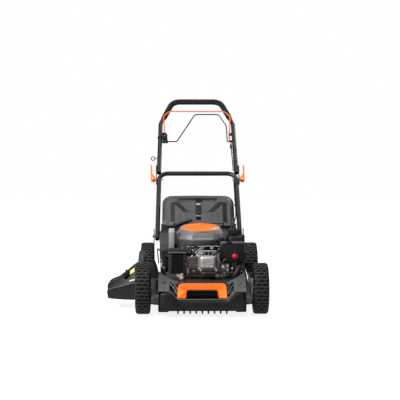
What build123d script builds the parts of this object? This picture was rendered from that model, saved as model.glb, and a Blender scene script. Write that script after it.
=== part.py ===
from build123d import *
from math import cos, radians, sin, tan
import os

# Petrol lawn mower with a grass bag, a side discharge chute and a folding handle.
# Working frame, in millimetres: X = 0 is the middle of the deck, Y = 0 is the crankshaft,
# Z = 0 is the ground, and the mower's front faces -Y. The last section moves every piece
# so that the finished mower's origin lies on the ground below the middle of its bounding box.

# ---- Driving dimensions ---------------------------------------------------------------

FRONT_WHEEL_R = 102.0
REAR_WHEEL_R = 127.0
FRONT_AXLE_Y = -285.0
REAR_AXLE_Y = 325.0
WHEEL_WIDTH = 60.0
WHEEL_CENTRE_X = 235.0
TYRE_DEPTH = 24.0
STUB_R = 6.0

CRANK_ARM = 60.0
ARM_ANGLE = 25.0
ARM_IN = 193.0
ARM_OUT = 199.0
PIN_RADIUS = 70.0
PIN_ANGLE = 115.0
PIN_R = 4.0
RUNNING_GAP = 0.06

DECK_R = 264.0
STEEL = 2.0
SKIRT_Z = 25.0
DECK_TOP = 128.0
NOSE_HALF = 165.0
NOSE_FRONT = -352.0
REAR_HALF = 175.0
REAR_STEEL = 3.0
TUNNEL_END = 400.0

BLADE_R = 254.0
BLADE_Z = 44.0
SHAFT_R = 12.5
BELT_Z = 84.0
PULLEY_R = 27.0
GEARBOX_PULLEY_R = 35.0
GEARBOX_Y = 312.0

CYLINDER_X = 30.0
HOUSING_R = 112.0
CAP_TILT = 9.0
CAP_R = 83.0

CHUTE_HINGE_X = -270.0
CHUTE_HINGE_Z = 132.0
CHUTE_HALF = 94.0

HANDLE_ANGLE = 45.4
HANDLE_BASE = (0, 330.0, 235.0)
PIVOT_V = 65.0
CAM_V = 437.0
CROSSBAR_V = 479.0
BEND_V = 846.0
GRIP_V = 1020.0
TUBE_R = 11.0
TUBE_WALL = 1.5
LOWER_HALF = 192.0
UPPER_HALF = 187.0
GRIP_HALF = 125.0
BRAKE_BAIL_V = 765.0
DRIVE_BAIL_V = 711.0
BAIL_REST_ANGLE = 66.0
WIRE_R = 3.0

BAG_HALF = 169.0
BAG_FRONT = 404.0

ARM_DY = CRANK_ARM * cos(radians(ARM_ANGLE))
ARM_DZ = CRANK_ARM * sin(radians(ARM_ANGLE))
FRONT_PIVOT = (FRONT_AXLE_Y - ARM_DY, FRONT_WHEEL_R - ARM_DZ)
REAR_PIVOT = (REAR_AXLE_Y - ARM_DY, REAR_WHEEL_R - ARM_DZ)
PIN_OFFSET = (
    PIN_RADIUS * cos(radians(PIN_ANGLE)),
    PIN_RADIUS * sin(radians(PIN_ANGLE)),
)

HANDLE = Plane(
    origin=HANDLE_BASE,
    x_dir=(1, 0, 0),
    z_dir=(0, -sin(radians(HANDLE_ANGLE)), cos(radians(HANDLE_ANGLE))),
)

pieces = {}


# ---- Planes and shapes that are used many times -----------------------------------------


def level(z):
    """A horizontal plane at height z: local x is +X, local y is +Y."""
    return Plane.XY.offset(z)


def front(y):
    """A plane across the mower at y: local x is +X, local y is +Z, and it faces -Y."""
    return Plane.XZ.offset(-y)


def side(x):
    """A plane along the mower at x: local x is +Y, local y is +Z, and it faces +X."""
    return Plane.YZ.offset(x)


def keep(name, built):
    """Files a finished piece under its name."""
    built.part.label = name
    pieces[name] = built.part


def block(x, y, z, mode=Mode.ADD):
    """A box from its three (low, high) spans, inside the open part."""
    centre = ((x[0] + x[1]) / 2, (y[0] + y[1]) / 2, (z[0] + z[1]) / 2)
    with Locations(centre):
        Box(x[1] - x[0], y[1] - y[0], z[1] - z[0], mode=mode)


def cross_bar(yz, radius, x, mode=Mode.ADD):
    """A round bar along X between two x values, at the point yz of the side view."""
    with BuildSketch(side(x[0])) as disc:
        with Locations(yz):
            Circle(radius)
    extrude(disc.sketch, amount=x[1] - x[0], mode=mode)


def post(xy, radius, z, mode=Mode.ADD):
    """A round bar along Z between two heights."""
    with BuildSketch(level(z[0])) as disc:
        with Locations(xy):
            Circle(radius)
    extrude(disc.sketch, amount=z[1] - z[0], mode=mode)


def plate(outline, x, mode=Mode.ADD):
    """A plate cut to an outline in the side view, between two x values."""
    with BuildSketch(side(x[0])) as shape:
        with BuildLine():
            Polyline(*outline, close=True)
        make_face()
    extrude(shape.sketch, amount=x[1] - x[0], mode=mode)


def slab(outline, y, mode=Mode.ADD):
    """A plate cut to an outline in the front view, between two y values."""
    with BuildSketch(front(y[1])) as shape:
        with BuildLine():
            Polyline(*outline, close=True)
        make_face()
    extrude(shape.sketch, amount=y[1] - y[0], mode=mode)


def bar_between(start, end, radius, mode=Mode.ADD):
    """A round bar from one point to another."""
    run = Vector(*end) - Vector(*start)
    with BuildSketch(Plane(origin=start, z_dir=run)) as disc:
        Circle(radius)
    extrude(disc.sketch, amount=run.length, mode=mode)


def on_handle(v, n=0.0):
    """The (y, z) of a point v up the handle and n in front of its plane."""
    lean = radians(HANDLE_ANGLE)
    y = HANDLE_BASE[1] + v * cos(lean) - n * sin(lean)
    z = HANDLE_BASE[2] + v * sin(lean) + n * cos(lean)
    return (y, z)


def handle_block(x, v, n, mode=Mode.ADD):
    """A box in the handle's own directions: across, up and out of its plane."""
    centre = Location(((x[0] + x[1]) / 2, (v[0] + v[1]) / 2, (n[0] + n[1]) / 2))
    with Locations(HANDLE.location * centre):
        Box(x[1] - x[0], v[1] - v[0], n[1] - n[0], mode=mode)


def bent_bar(path_plane, points, bend_radius, radius, wall=0.0):
    """A round bar, or a tube when it has a wall, along points of a plane with smooth bends."""
    with BuildLine(path_plane) as path:
        FilletPolyline(*points, radius=bend_radius)
    with BuildSketch(Plane(origin=path.line @ 0, z_dir=path.line % 0)) as section:
        Circle(radius)
        if wall:
            Circle(radius - wall, mode=Mode.SUBTRACT)
    sweep(section.sketch, path=path.line)


# ---- Wheels -----------------------------------------------------------------------------


def tyre(name, sign, axle_y, wheel_r):
    """A tyre with rounded shoulders."""
    centre_x = sign * WHEEL_CENTRE_X
    inner_face = centre_x - WHEEL_WIDTH / 2
    with BuildPart() as rubber:
        with BuildSketch(side(inner_face)):
            with Locations((axle_y, wheel_r)):
                Circle(wheel_r)
                Circle(wheel_r - TYRE_DEPTH, mode=Mode.SUBTRACT)
        extrude(amount=WHEEL_WIDTH)
        outer_rims = rubber.edges().filter_by(GeomType.CIRCLE).group_by(SortBy.RADIUS)[-1]
        fillet(outer_rims, radius=9)
    keep(name, rubber)


def rim(name, sign, axle_y, wheel_r):
    """A wheel centre: outer ring, web and a hub that turns on the stub axle."""
    centre_x = sign * WHEEL_CENTRE_X
    half_ring = 24.0
    half_hub = 28.0
    ring_r = wheel_r - TYRE_DEPTH
    with BuildPart() as wheel:
        cross_bar((axle_y, wheel_r), ring_r, (centre_x - half_ring, centre_x + half_ring))
        hollow = ((centre_x + 3, centre_x + half_ring), (centre_x - half_ring, centre_x - 3))
        for span in hollow:
            cross_bar((axle_y, wheel_r), ring_r - 7, span, mode=Mode.SUBTRACT)
        cross_bar((axle_y, wheel_r), 17, (centre_x - half_hub, centre_x + half_hub))
        bore = (centre_x - half_hub, centre_x + half_hub)
        cross_bar((axle_y, wheel_r), STUB_R + RUNNING_GAP, bore, mode=Mode.SUBTRACT)
    keep(name, wheel)


for end, axle_y, wheel_r in (
    ("front", FRONT_AXLE_Y, FRONT_WHEEL_R),
    ("rear", REAR_AXLE_Y, REAR_WHEEL_R),
):
    for hand, sign in (("left", -1), ("right", 1)):
        tyre(f"{end}_{hand}_tyre", sign, axle_y, wheel_r)
        rim(f"{end}_{hand}_rim", sign, axle_y, wheel_r)


# ---- Height adjustment --------------------------------------------------------------------


def crank_axle(name, pivot, axle):
    """A pivot rod across the deck with a cranked arm and a stub axle at each end."""
    along = Location((pivot[0], pivot[1], 0), ARM_ANGLE)
    stub_end = WHEEL_CENTRE_X + WHEEL_WIDTH / 2
    with BuildPart() as cranked:
        cross_bar(pivot, STUB_R, (-ARM_OUT, ARM_OUT))
        for low in (-ARM_OUT, ARM_IN):
            with BuildSketch(side(low)):
                with Locations(along):
                    with Locations((CRANK_ARM / 2, 0)):
                        SlotCenterToCenter(CRANK_ARM, 28)
            extrude(amount=ARM_OUT - ARM_IN)
        for span in ((-stub_end, -ARM_IN), (ARM_IN, stub_end)):
            cross_bar(axle, STUB_R, span)
        for span in ((-stub_end - 3, -stub_end), (stub_end, stub_end + 3)):
            cross_bar(axle, 10, span)
        with BuildSketch(side(ARM_IN)):
            with Locations(Location((pivot[0], pivot[1], 0), PIN_ANGLE)):
                with Locations((PIN_RADIUS / 2, 0)):
                    SlotCenterToCenter(PIN_RADIUS, 22)
        extrude(amount=ARM_OUT - ARM_IN)
        pin = (pivot[0] + PIN_OFFSET[0], pivot[1] + PIN_OFFSET[1])
        cross_bar(pin, PIN_R, (LINK_IN - 1, ARM_IN))
    keep(name, cranked)


LINK_IN = 187.0
LINK_OUT = 190.0
LEVER_LENGTH = 165.0
LEVER_ANGLE = 136.0

crank_axle("front_axle", FRONT_PIVOT, (FRONT_AXLE_Y, FRONT_WHEEL_R))
crank_axle("rear_axle", REAR_PIVOT, (REAR_AXLE_Y, REAR_WHEEL_R))

with BuildPart() as height_lever:
    with BuildSketch(side(ARM_OUT)):
        with Locations(Location((REAR_PIVOT[0], REAR_PIVOT[1], 0), LEVER_ANGLE)):
            with Locations((LEVER_LENGTH / 2, 0)):
                SlotCenterToCenter(LEVER_LENGTH, 18)
    extrude(amount=4)
    with BuildSketch(side(ARM_OUT - 8)):
        with Locations(Location((REAR_PIVOT[0], REAR_PIVOT[1], 0), LEVER_ANGLE)):
            with Locations((LEVER_LENGTH - 18, 0)):
                SlotCenterToCenter(40, 26)
    extrude(amount=20)
    grip_edges = height_lever.edges().filter_by(Plane.YZ).group_by(Axis.X)
    fillet(grip_edges[0] + grip_edges[-1], radius=4)
keep("height_lever", height_lever)

with BuildPart() as link_rod:
    front_pin = (FRONT_PIVOT[0] + PIN_OFFSET[0], FRONT_PIVOT[1] + PIN_OFFSET[1])
    rear_pin = (REAR_PIVOT[0] + PIN_OFFSET[0], REAR_PIVOT[1] + PIN_OFFSET[1])
    with BuildSketch(side(LINK_IN)):
        SlotCenterPoint(
            ((front_pin[0] + rear_pin[0]) / 2, (front_pin[1] + rear_pin[1]) / 2), rear_pin, 16
        )
        with Locations(front_pin, rear_pin):
            Circle(PIN_R + RUNNING_GAP, mode=Mode.SUBTRACT)
    extrude(amount=LINK_OUT - LINK_IN)
keep("link_rod", link_rod)


# ---- Deck ---------------------------------------------------------------------------------

PORT_HALF = 100.0
PORT_OUT = -262.0
HINGE_R = 3.0
DOOR_HINGE = (394, 331)
FLAP_HINGE = (392, 148)
TUNNEL_SIDE = (
    (140, 70), (290, 70), (TUNNEL_END, 150), (TUNNEL_END, 320),
    (298, 300), (236, 254), (180, DECK_TOP), (140, DECK_TOP),
)
TUNNEL_HOLLOW = (
    (150, 90), (263, 112), (TUNNEL_END + 1, 166), (TUNNEL_END + 1, 316),
    (300, 296), (240, 251), (184, DECK_TOP - 3), (150, DECK_TOP - 3),
)
BELOW_TUNNEL = ((264, 60), (264, 109), (TUNNEL_END + 1, 162), (TUNNEL_END + 1, 60))
REAR_INNER = REAR_HALF - REAR_STEEL

with BuildPart() as deck_shell:
    # Outer shapes: the round blade housing, the nose, the rear box and the side port.
    post((0, 0), DECK_R, (SKIRT_Z, DECK_TOP))
    plate(
        ((NOSE_FRONT, SKIRT_Z), (NOSE_FRONT, 88), (-305, DECK_TOP), (-100, DECK_TOP),
         (-100, SKIRT_Z)),
        (-NOSE_HALF, NOSE_HALF),
    )
    plate(TUNNEL_SIDE, (-REAR_HALF, REAR_HALF))
    block((PORT_OUT, -200), (-PORT_HALF, PORT_HALF), (SKIRT_Z, 124))
    # The nose is hollow in front of the blade housing's wall.
    plate(
        ((NOSE_FRONT + 3, SKIRT_Z), (NOSE_FRONT + 3, 86.5), (-304, DECK_TOP - 3),
         (-100, DECK_TOP - 3), (-100, SKIRT_Z)),
        (-NOSE_HALF + 3, NOSE_HALF - 3),
        mode=Mode.SUBTRACT,
    )
    with BuildSketch(level(SKIRT_Z)):
        Circle(DECK_R)
    extrude(amount=DECK_TOP - SKIRT_Z)
    # Blade chamber.
    post((0, 0), DECK_R - STEEL, (SKIRT_Z, DECK_TOP - 3), mode=Mode.SUBTRACT)
    # Rear tunnel, the space under it, and the side port.
    plate(TUNNEL_HOLLOW, (-REAR_INNER, REAR_INNER), mode=Mode.SUBTRACT)
    plate(BELOW_TUNNEL, (-REAR_INNER, REAR_INNER), mode=Mode.SUBTRACT)
    block((-DECK_R - 1, -190), (-PORT_HALF + 4, PORT_HALF - 4), (32, 118), mode=Mode.SUBTRACT)
    # Hole for the crankshaft and its blade adapter, and a slot for the drive belt.
    post((0, 0), 34, (DECK_TOP - 4, DECK_TOP + 1), mode=Mode.SUBTRACT)
    block((-56, 56), (250, 266), (BELT_Z - 8, BELT_Z + 8), mode=Mode.SUBTRACT)
    # Pivot holes for the cranked axles.
    for pivot in (FRONT_PIVOT, REAR_PIVOT):
        cross_bar(pivot, STUB_R + RUNNING_GAP, (-REAR_HALF - 1, REAR_HALF + 1), mode=Mode.SUBTRACT)
    # Notched quadrant for the height lever.
    with BuildSketch(side(REAR_HALF)):
        with Locations(REAR_PIVOT):
            Circle(126)
            Circle(104, mode=Mode.SUBTRACT)
        with BuildLine():
            start = PolarLine(REAR_PIVOT, 160, 84)
            stop = PolarLine(REAR_PIVOT, 160, 146)
            Polyline(start @ 1, (REAR_PIVOT[0] - 100, REAR_PIVOT[1] + 170), stop @ 1)
        make_face(mode=Mode.INTERSECT)
    extrude(amount=4)
    # Hinge lugs and rod of the side port.
    cross_rod = Plane(origin=(CHUTE_HINGE_X, -PORT_HALF, CHUTE_HINGE_Z), z_dir=(0, 1, 0))
    for low in (-PORT_HALF, PORT_HALF - 5):
        block((CHUTE_HINGE_X - 5, -236), (low, low + 5), (118, CHUTE_HINGE_Z + 5))
    with BuildSketch(cross_rod):
        Circle(HINGE_R)
    extrude(amount=2 * PORT_HALF)
    # Hinge rod of the rear door, above the tunnel's mouth.
    for low in (-REAR_HALF, REAR_HALF - 5):
        block((low, low + 5), (386, TUNNEL_END), (315, 338))
    cross_bar(DOOR_HINGE, HINGE_R, (-REAR_HALF, REAR_HALF))
    # Hinge rod of the trailing flap, below the tunnel's mouth.
    cross_bar(FLAP_HINGE, HINGE_R, (-REAR_HALF, REAR_HALF))
keep("deck_shell", deck_shell)

with BuildPart() as front_cover:
    side_view = (
        (-406, 70), (-406, 102), (-350, 130), (-235, 170),
        (-235, 166), (-349, 126), (-402, 99), (-402, 70),
    )
    rib_view = (
        (-404, 68), (-404, 101), (-350, 128), (-235, 168),
        (-235, 130), (-305, 130), (-354, 89), (-354, 68),
    )
    wall_view = (
        (-404, 24), (-404, 101), (-350, 128), (-235, 168),
        (-235, 100), (-300, 60), (-380, 24),
    )
    # Bumper band, its floor and the wall behind the grab handle.
    block((-172, 172), (-408, -404), (24, 70))
    block((-172, 172), (-405, -354), (66, 70))
    plate(
        ((-357, 66), (-357, 91), (-307, 133), (-305, 130), (-354, 89), (-354, 66)),
        (-119, 119),
    )
    # Wings on each side, with their inner and outer walls.
    for inner, outer in ((-172, -168), (168, 172)):
        plate(wall_view, (inner, outer))
    for span in ((-172, -118), (118, 172)):
        plate(side_view, span)
    for span in ((-121, -118), (118, 121)):
        plate(rib_view, span)
    for span in ((-173, -167), (167, 173)):
        cross_bar(FRONT_PIVOT, 10, span, mode=Mode.SUBTRACT)
    # Comb teeth that guide the grass.
    for place in range(-4, 5):
        block((place * 23.7 - 2.75, place * 23.7 + 2.75), (-408, -398), (14, 27))
keep("front_cover", front_cover)

GRAB_PLANE = Plane(origin=(0, -392, 70), x_dir=(1, 0, 0), z_dir=(0, -cos(radians(14)), sin(radians(14))))

with BuildPart() as front_grab_handle:
    with BuildSketch(GRAB_PLANE):
        with BuildLine():
            FilletPolyline((-98, 3), (-94, 61), (94, 61), (98, 3), radius=20, close=False)
            Line((98, 3), (64, 3))
            FilletPolyline((64, 3), (60, 36), (-60, 36), (-64, 3), radius=8)
            Line((-64, 3), (-98, 3))
        make_face()
    extrude(amount=9, both=True)
    fillet(front_grab_handle.faces().sort_by(Axis.Y)[0].outer_wire().edges(), radius=4)
keep("front_grab_handle", front_grab_handle)

with BuildPart() as wash_port:
    WASH_AT = (-79, -212)
    post(WASH_AT, 16, (DECK_TOP, 132))
    post(WASH_AT, 9.5, (132, 144))
    post(WASH_AT, 6.5, (144, 162))
    post(WASH_AT, 4.5, (DECK_TOP, 162), mode=Mode.SUBTRACT)
keep("wash_port", wash_port)

with BuildPart() as trail_flap:
    cross_bar(FLAP_HINGE, 5.5, (-160, 160))
    block((-165, 165), (390.5, 393.5), (12, 144))
    cross_bar(FLAP_HINGE, HINGE_R + RUNNING_GAP, (-160, 160), mode=Mode.SUBTRACT)
keep("trail_flap", trail_flap)

with BuildPart() as handle_brackets:
    pivot_yz = on_handle(PIVOT_V)
    for span in ((-REAR_HALF - 5, -REAR_HALF), (REAR_HALF, REAR_HALF + 5)):
        plate(((322, 176), (392, 176), (396, 300), (350, 305), (322, 250)), span)
keep("handle_brackets", handle_brackets)

with BuildPart() as handle_bolts:
    for span, head in (
        ((-206, -REAR_HALF - 5), (-211, -206)),
        ((REAR_HALF + 5, 206), (206, 211)),
    ):
        cross_bar(pivot_yz, 5, span)
        cross_bar(pivot_yz, 9, head)
keep("handle_bolts", handle_bolts)


# ---- Side discharge chute, rear door and grass bag --------------------------------------------

CHUTE_RIDGE = 58.0
CHUTE_OUTER = (
    (-263, 190), (-299, 160), (-345, 124), (-372, 114), (-392, 97), (-388, 48),
    (-380, 43), (-276, 36), (-276, 120), (-272, 124), (-261, 126), (-260, 140),
)
CHUTE_END = (
    (-263, 150), (-299, 128), (-345, 98), (-372, 85), (-391, 72), (-388, 48),
    (-380, 43), (-276, 36), (-276, 120), (-272, 124), (-261, 126), (-260, 140),
)
CHUTE_INNER = (
    (-259, 185), (-300, 155), (-346, 119), (-371, 109), (-388, 93), (-385, 52),
    (-384, 30), (-256, 30),
)
CHUTE_INNER_END = (
    (-259, 144), (-300, 122), (-346, 92), (-371, 80), (-387, 68), (-385, 52),
    (-384, 30), (-256, 30),
)
hinge_rod = Plane(origin=(CHUTE_HINGE_X, -CHUTE_HALF, CHUTE_HINGE_Z), z_dir=(0, 1, 0))


def chute_body(middle, end, ridge, half, mode=Mode.ADD):
    """The chute's shape: straight between its ridges, then sloping to each end wall."""
    slab(middle, (-ridge, ridge), mode=mode)
    for sign in (-1, 1):
        sections = []
        for outline, y in ((middle, sign * ridge), (end, sign * half)):
            with BuildSketch(front(y)) as section:
                with BuildLine():
                    Polyline(*outline, close=True)
                make_face()
            sections.append(section.sketch)
        loft(sections, ruled=True, mode=mode)


with BuildPart() as side_chute:
    chute_body(CHUTE_OUTER, CHUTE_END, CHUTE_RIDGE, CHUTE_HALF)
    chute_body(
        CHUTE_INNER, CHUTE_INNER_END, CHUTE_RIDGE - 1, CHUTE_HALF - 3, mode=Mode.SUBTRACT
    )
    with BuildSketch(hinge_rod):
        Circle(6)
    extrude(amount=2 * CHUTE_HALF)
    with BuildSketch(hinge_rod):
        Circle(HINGE_R + RUNNING_GAP)
    extrude(amount=2 * CHUTE_HALF, mode=Mode.SUBTRACT)
keep("side_chute", side_chute)

with BuildPart() as side_flap:
    slab(((-262, 141), (-258.5, 141), (-249, 235), (-252.5, 235)), (-85, 85))
keep("side_flap", side_flap)

DOOR_ANGLE = 50.0
DOOR_LENGTH = 135.0

with BuildPart() as rear_door:
    door_plane = Plane(
        origin=(-150, DOOR_HINGE[0], DOOR_HINGE[1]),
        x_dir=(0, cos(radians(DOOR_ANGLE)), sin(radians(DOOR_ANGLE))),
        z_dir=(1, 0, 0),
    )
    with BuildSketch(door_plane):
        with Locations((DOOR_LENGTH / 2, 0)):
            Rectangle(DOOR_LENGTH, 3.5)
        Circle(6.5)
        Circle(HINGE_R + RUNNING_GAP, mode=Mode.SUBTRACT)
    extrude(amount=300)
keep("rear_door", rear_door)

HOOD_CORNER = 40.0
HOOD_VIEW = (
    (412, 322), (414, 345), (490, 436), (520, 460), (560, 466), (760, 445), (820, 400), (838, 322),
)
HOOD_HOLLOW = (
    (405, 321), (405, 330), (419, 345), (492, 432), (522, 456), (560, 462), (758, 441),
    (817, 397), (834, 321),
)
BODY_VIEW = (
    (BAG_FRONT, 172), (425, 152), (560, 140), (790, 165), (828, 205), (836, 319), (BAG_FRONT, 319),
)
BODY_HOLLOW = (
    (BAG_FRONT - 1, 176), (426, 156), (560, 144), (788, 169), (824, 207), (832, 320),
    (BAG_FRONT - 1, 320),
)

with BuildPart() as hood_core:
    plate(HOOD_HOLLOW, (-BAG_HALF + 4, BAG_HALF - 4))
    core_corners = hood_core.edges().filter_by(Plane.YZ)
    fillet(core_corners.filter_by(lambda edge: edge.center().Z > 436), radius=HOOD_CORNER - 4)

with BuildPart() as bag_hood:
    plate(HOOD_VIEW, (-BAG_HALF, BAG_HALF))
    top_corners = bag_hood.edges().filter_by(Plane.YZ)
    fillet(top_corners.filter_by(lambda edge: edge.center().Z > 440), radius=HOOD_CORNER)
    add(hood_core, mode=Mode.SUBTRACT)
keep("bag_hood", bag_hood)

with BuildPart() as bag_body:
    plate(BODY_VIEW, (-BAG_HALF + 1, BAG_HALF - 1))
    plate(BODY_HOLLOW, (-BAG_HALF + 5, BAG_HALF - 5), mode=Mode.SUBTRACT)
keep("bag_body", bag_body)


# ---- Blade and drive --------------------------------------------------------------------------

with BuildPart() as crankshaft:
    post((0, 0), SHAFT_R, (BLADE_Z + 4, 290))
    for web in ((150, 158), (174, 182)):
        post((0, 0), 30, web)
    post((0, 0), 5, (BLADE_Z + 4, BLADE_Z + 30), mode=Mode.SUBTRACT)
keep("crankshaft", crankshaft)

with BuildPart() as blade_adapter:
    post((0, 0), 32, (BLADE_Z + 4, BLADE_Z + 10))
    post((0, 0), 20, (BLADE_Z + 10, BELT_Z - 7))
    post((0, 0), PULLEY_R + 6, (BELT_Z - 7, BELT_Z + 7))
    with BuildSketch(Plane.XZ):
        with Locations((PULLEY_R + 5, BELT_Z)):
            Rectangle(10, 9)
    revolve(axis=Axis.Z, mode=Mode.SUBTRACT)
    post((0, 0), SHAFT_R, (BLADE_Z + 3, BELT_Z + 8), mode=Mode.SUBTRACT)
keep("blade_adapter", blade_adapter)

with BuildPart() as blade:
    with BuildSketch(level(BLADE_Z)):
        SlotOverall(2 * BLADE_R, 52)
        Circle(5, mode=Mode.SUBTRACT)
    extrude(amount=4)
    for hand in (-1, 1):
        with BuildSketch(Plane.YZ.offset(hand * 150)):
            with Locations((-hand * 22, BLADE_Z + 8)):
                Rectangle(6, 12)
        extrude(amount=hand * 75)
keep("blade", blade)

with BuildPart() as blade_bolt:
    post((0, 0), 4.95, (BLADE_Z - 1, BLADE_Z + 28))
    post((0, 0), 15, (BLADE_Z - 3, BLADE_Z))
    with BuildSketch(level(BLADE_Z - 11)):
        RegularPolygon(9, 6)
    extrude(amount=8)
keep("blade_bolt", blade_bolt)

with BuildPart() as drive_belt:
    with BuildSketch(level(BELT_Z - 4)):
        Circle(PULLEY_R + 6)
        with Locations((0, GEARBOX_Y)):
            Circle(GEARBOX_PULLEY_R + 6)
        make_hull()
        with BuildSketch(mode=Mode.SUBTRACT):
            Circle(PULLEY_R + 0.5)
            with Locations((0, GEARBOX_Y)):
                Circle(GEARBOX_PULLEY_R + 0.5)
            make_hull()
    extrude(amount=8)
keep("drive_belt", drive_belt)

with BuildPart() as gearbox_pulley:
    post((0, GEARBOX_Y), GEARBOX_PULLEY_R + 6, (BELT_Z - 7, BELT_Z + 6))
    with BuildSketch(level(BELT_Z - 4.5)):
        with Locations((0, GEARBOX_Y)):
            Circle(GEARBOX_PULLEY_R + 8)
            Circle(GEARBOX_PULLEY_R, mode=Mode.SUBTRACT)
    extrude(amount=9, mode=Mode.SUBTRACT)
    post((0, GEARBOX_Y), STUB_R + RUNNING_GAP, (BELT_Z - 8, BELT_Z + 7), mode=Mode.SUBTRACT)
keep("gearbox_pulley", gearbox_pulley)

with BuildPart() as gearbox:
    block((-45, 45), (281, 343), (91, 112))
    fillet(gearbox.edges().filter_by(Axis.Z), radius=14)
    post((0, GEARBOX_Y), STUB_R, (BELT_Z - 8, 92))
keep("gearbox", gearbox)


# ---- Engine -------------------------------------------------------------------------------------

CASE_R = 88.0
CASE_TOP = 230.0

with BuildPart() as crankcase:
    post((0, 0), CASE_R, (DECK_TOP, CASE_TOP))
    post((0, 0), CASE_R + 14, (DECK_TOP, DECK_TOP + 8))
    post((0, 0), CASE_R - 8, (DECK_TOP + 8, CASE_TOP - 8), mode=Mode.SUBTRACT)
    post((0, 0), SHAFT_R + RUNNING_GAP, (DECK_TOP - 1, CASE_TOP + 1), mode=Mode.SUBTRACT)
keep("crankcase", crankcase)

PORT_FACE = -58.0

with BuildPart() as cylinder_block:
    bore_x = (CYLINDER_X - 38, CYLINDER_X + 38)
    block(bore_x, (-150, -70), (164, 228))
    block((PORT_FACE, bore_x[0]), (-146, -100), (178, 216))
    for fin in range(4):
        fin_y = -148 + 9 * fin
        fin_x = (CYLINDER_X - 44, CYLINDER_X + 42)
        block(fin_x, (fin_y, fin_y + 3), (156, 244))
        block((PORT_FACE, fin_x[0]), (fin_y, fin_y + 3), (172, 222))
    post((0, 0), CASE_R, (150, 250), mode=Mode.SUBTRACT)
    with BuildSketch(front(-80)):
        with Locations((CYLINDER_X, 196)):
            Circle(28)
    extrude(amount=80, mode=Mode.SUBTRACT)
keep("cylinder_block", cylinder_block)

with BuildPart() as cylinder_head:
    block((CYLINDER_X - 43, CYLINDER_X + 43), (-180, -150), (152, 248))
    fillet(cylinder_head.edges().filter_by(Axis.Y), radius=12)
    for groove in range(3):
        groove_y = -158 - 8 * groove
        for z in ((150, 166), (234, 250)):
            block((CYLINDER_X - 50, CYLINDER_X + 50), (groove_y, groove_y + 4), z, mode=Mode.SUBTRACT)
keep("cylinder_head", cylinder_head)

with BuildPart() as valve_cover:
    block((CYLINDER_X - 37, CYLINDER_X + 27), (-235, -180), (173, 227))
    fillet(valve_cover.edges().filter_by(Axis.Y), radius=11)
    fillet(valve_cover.faces().sort_by(Axis.Y)[0].edges(), radius=7)
keep("valve_cover", valve_cover)

with BuildPart() as spark_plug:
    plug_dir = Vector(-0.86, 0, 0.5)
    plug_seat = Vector(CYLINDER_X - 43, -166, 222)
    bar_between(plug_seat, plug_seat + plug_dir * 10, 7)
    bar_between(plug_seat + plug_dir * 10, plug_seat + plug_dir * 34, 5)
    block((CYLINDER_X - 43, CYLINDER_X + 60), (-185, -150), (200, 250), mode=Mode.SUBTRACT)
keep("spark_plug", spark_plug)

with BuildPart() as flywheel:
    post((0, 0), CASE_R, (244, 268))
    post((0, 0), CASE_R - 10, (252, 269), mode=Mode.SUBTRACT)
    post((0, 0), 22, (244, 276))
    post((0, 0), SHAFT_R, (243, 277), mode=Mode.SUBTRACT)
keep("flywheel", flywheel)

CAP_CENTRE_Z = 330.0
CAP_PLANE = Plane(
    origin=(0, 0, CAP_CENTRE_Z),
    x_dir=(1, 0, 0),
    z_dir=(0, -sin(radians(CAP_TILT)), cos(radians(CAP_TILT))),
)

with BuildPart() as blower_housing:
    with BuildSketch(Plane.XZ):
        with BuildLine():
            Polyline(
                (HOUSING_R, CASE_TOP), (HOUSING_R, 288), (78, 352), (74, 352), (74, 348),
                (HOUSING_R - 3, 286), (HOUSING_R - 3, CASE_TOP + 3), (70, CASE_TOP + 3),
                (70, CASE_TOP), close=True,
            )
        make_face()
    revolve(axis=Axis.Z)
    with BuildSketch(CAP_PLANE):
        Circle(150)
    extrude(amount=60, mode=Mode.SUBTRACT)
    block((-135, -104), (-80, 40), (247, 332))
    block((-132, -108), (-77, 37), (244, 329), mode=Mode.SUBTRACT)
keep("blower_housing", blower_housing)

with BuildPart() as starter_cover:
    with BuildSketch(CAP_PLANE.offset(0.5)):
        Circle(CAP_R)
    extrude(amount=12, taper=8)
    with BuildSketch(CAP_PLANE.offset(0.4)):
        Circle(CAP_R - 5)
    extrude(amount=9, mode=Mode.SUBTRACT)
    post((0, 0), STUB_R, (298, 341))
keep("starter_cover", starter_cover)

with BuildPart() as recoil_pulley:
    post((0, 0), 50, (300, 312))
    with BuildSketch(Plane.XZ):
        with Locations((50, 306)):
            Rectangle(14, 7)
    revolve(axis=Axis.Z, mode=Mode.SUBTRACT)
    post((0, 0), STUB_R + RUNNING_GAP, (299, 313), mode=Mode.SUBTRACT)
keep("recoil_pulley", recoil_pulley)

with BuildPart() as starter_grip:
    bar_between((-108, 104, 340), (-38, 104, 363), 8)
    bar_between((-73, 104, 351), (-71, 92, 345), 5)
keep("starter_grip", starter_grip)

with BuildPart() as fuel_tank:
    block((118, 188), (-30, 110), (216, 300))
    fillet(fuel_tank.edges(), radius=10)
    post((148, 30), 18, (290, 323))
    block((121, 185), (-27, 107), (219, 296), mode=Mode.SUBTRACT)
    post((148, 30), 15, (290, 324), mode=Mode.SUBTRACT)
keep("fuel_tank", fuel_tank)

with BuildPart() as fuel_cap:
    post((148, 30), 29.5, (306, 330))
    post((148, 30), 18 + RUNNING_GAP, (305, 324), mode=Mode.SUBTRACT)
    fillet(fuel_cap.faces().sort_by(Axis.Z)[-1].edges(), radius=3)
keep("fuel_cap", fuel_cap)

PRIMER_AT = (139.5, 221)
PRIMER_R = 12.5

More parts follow.
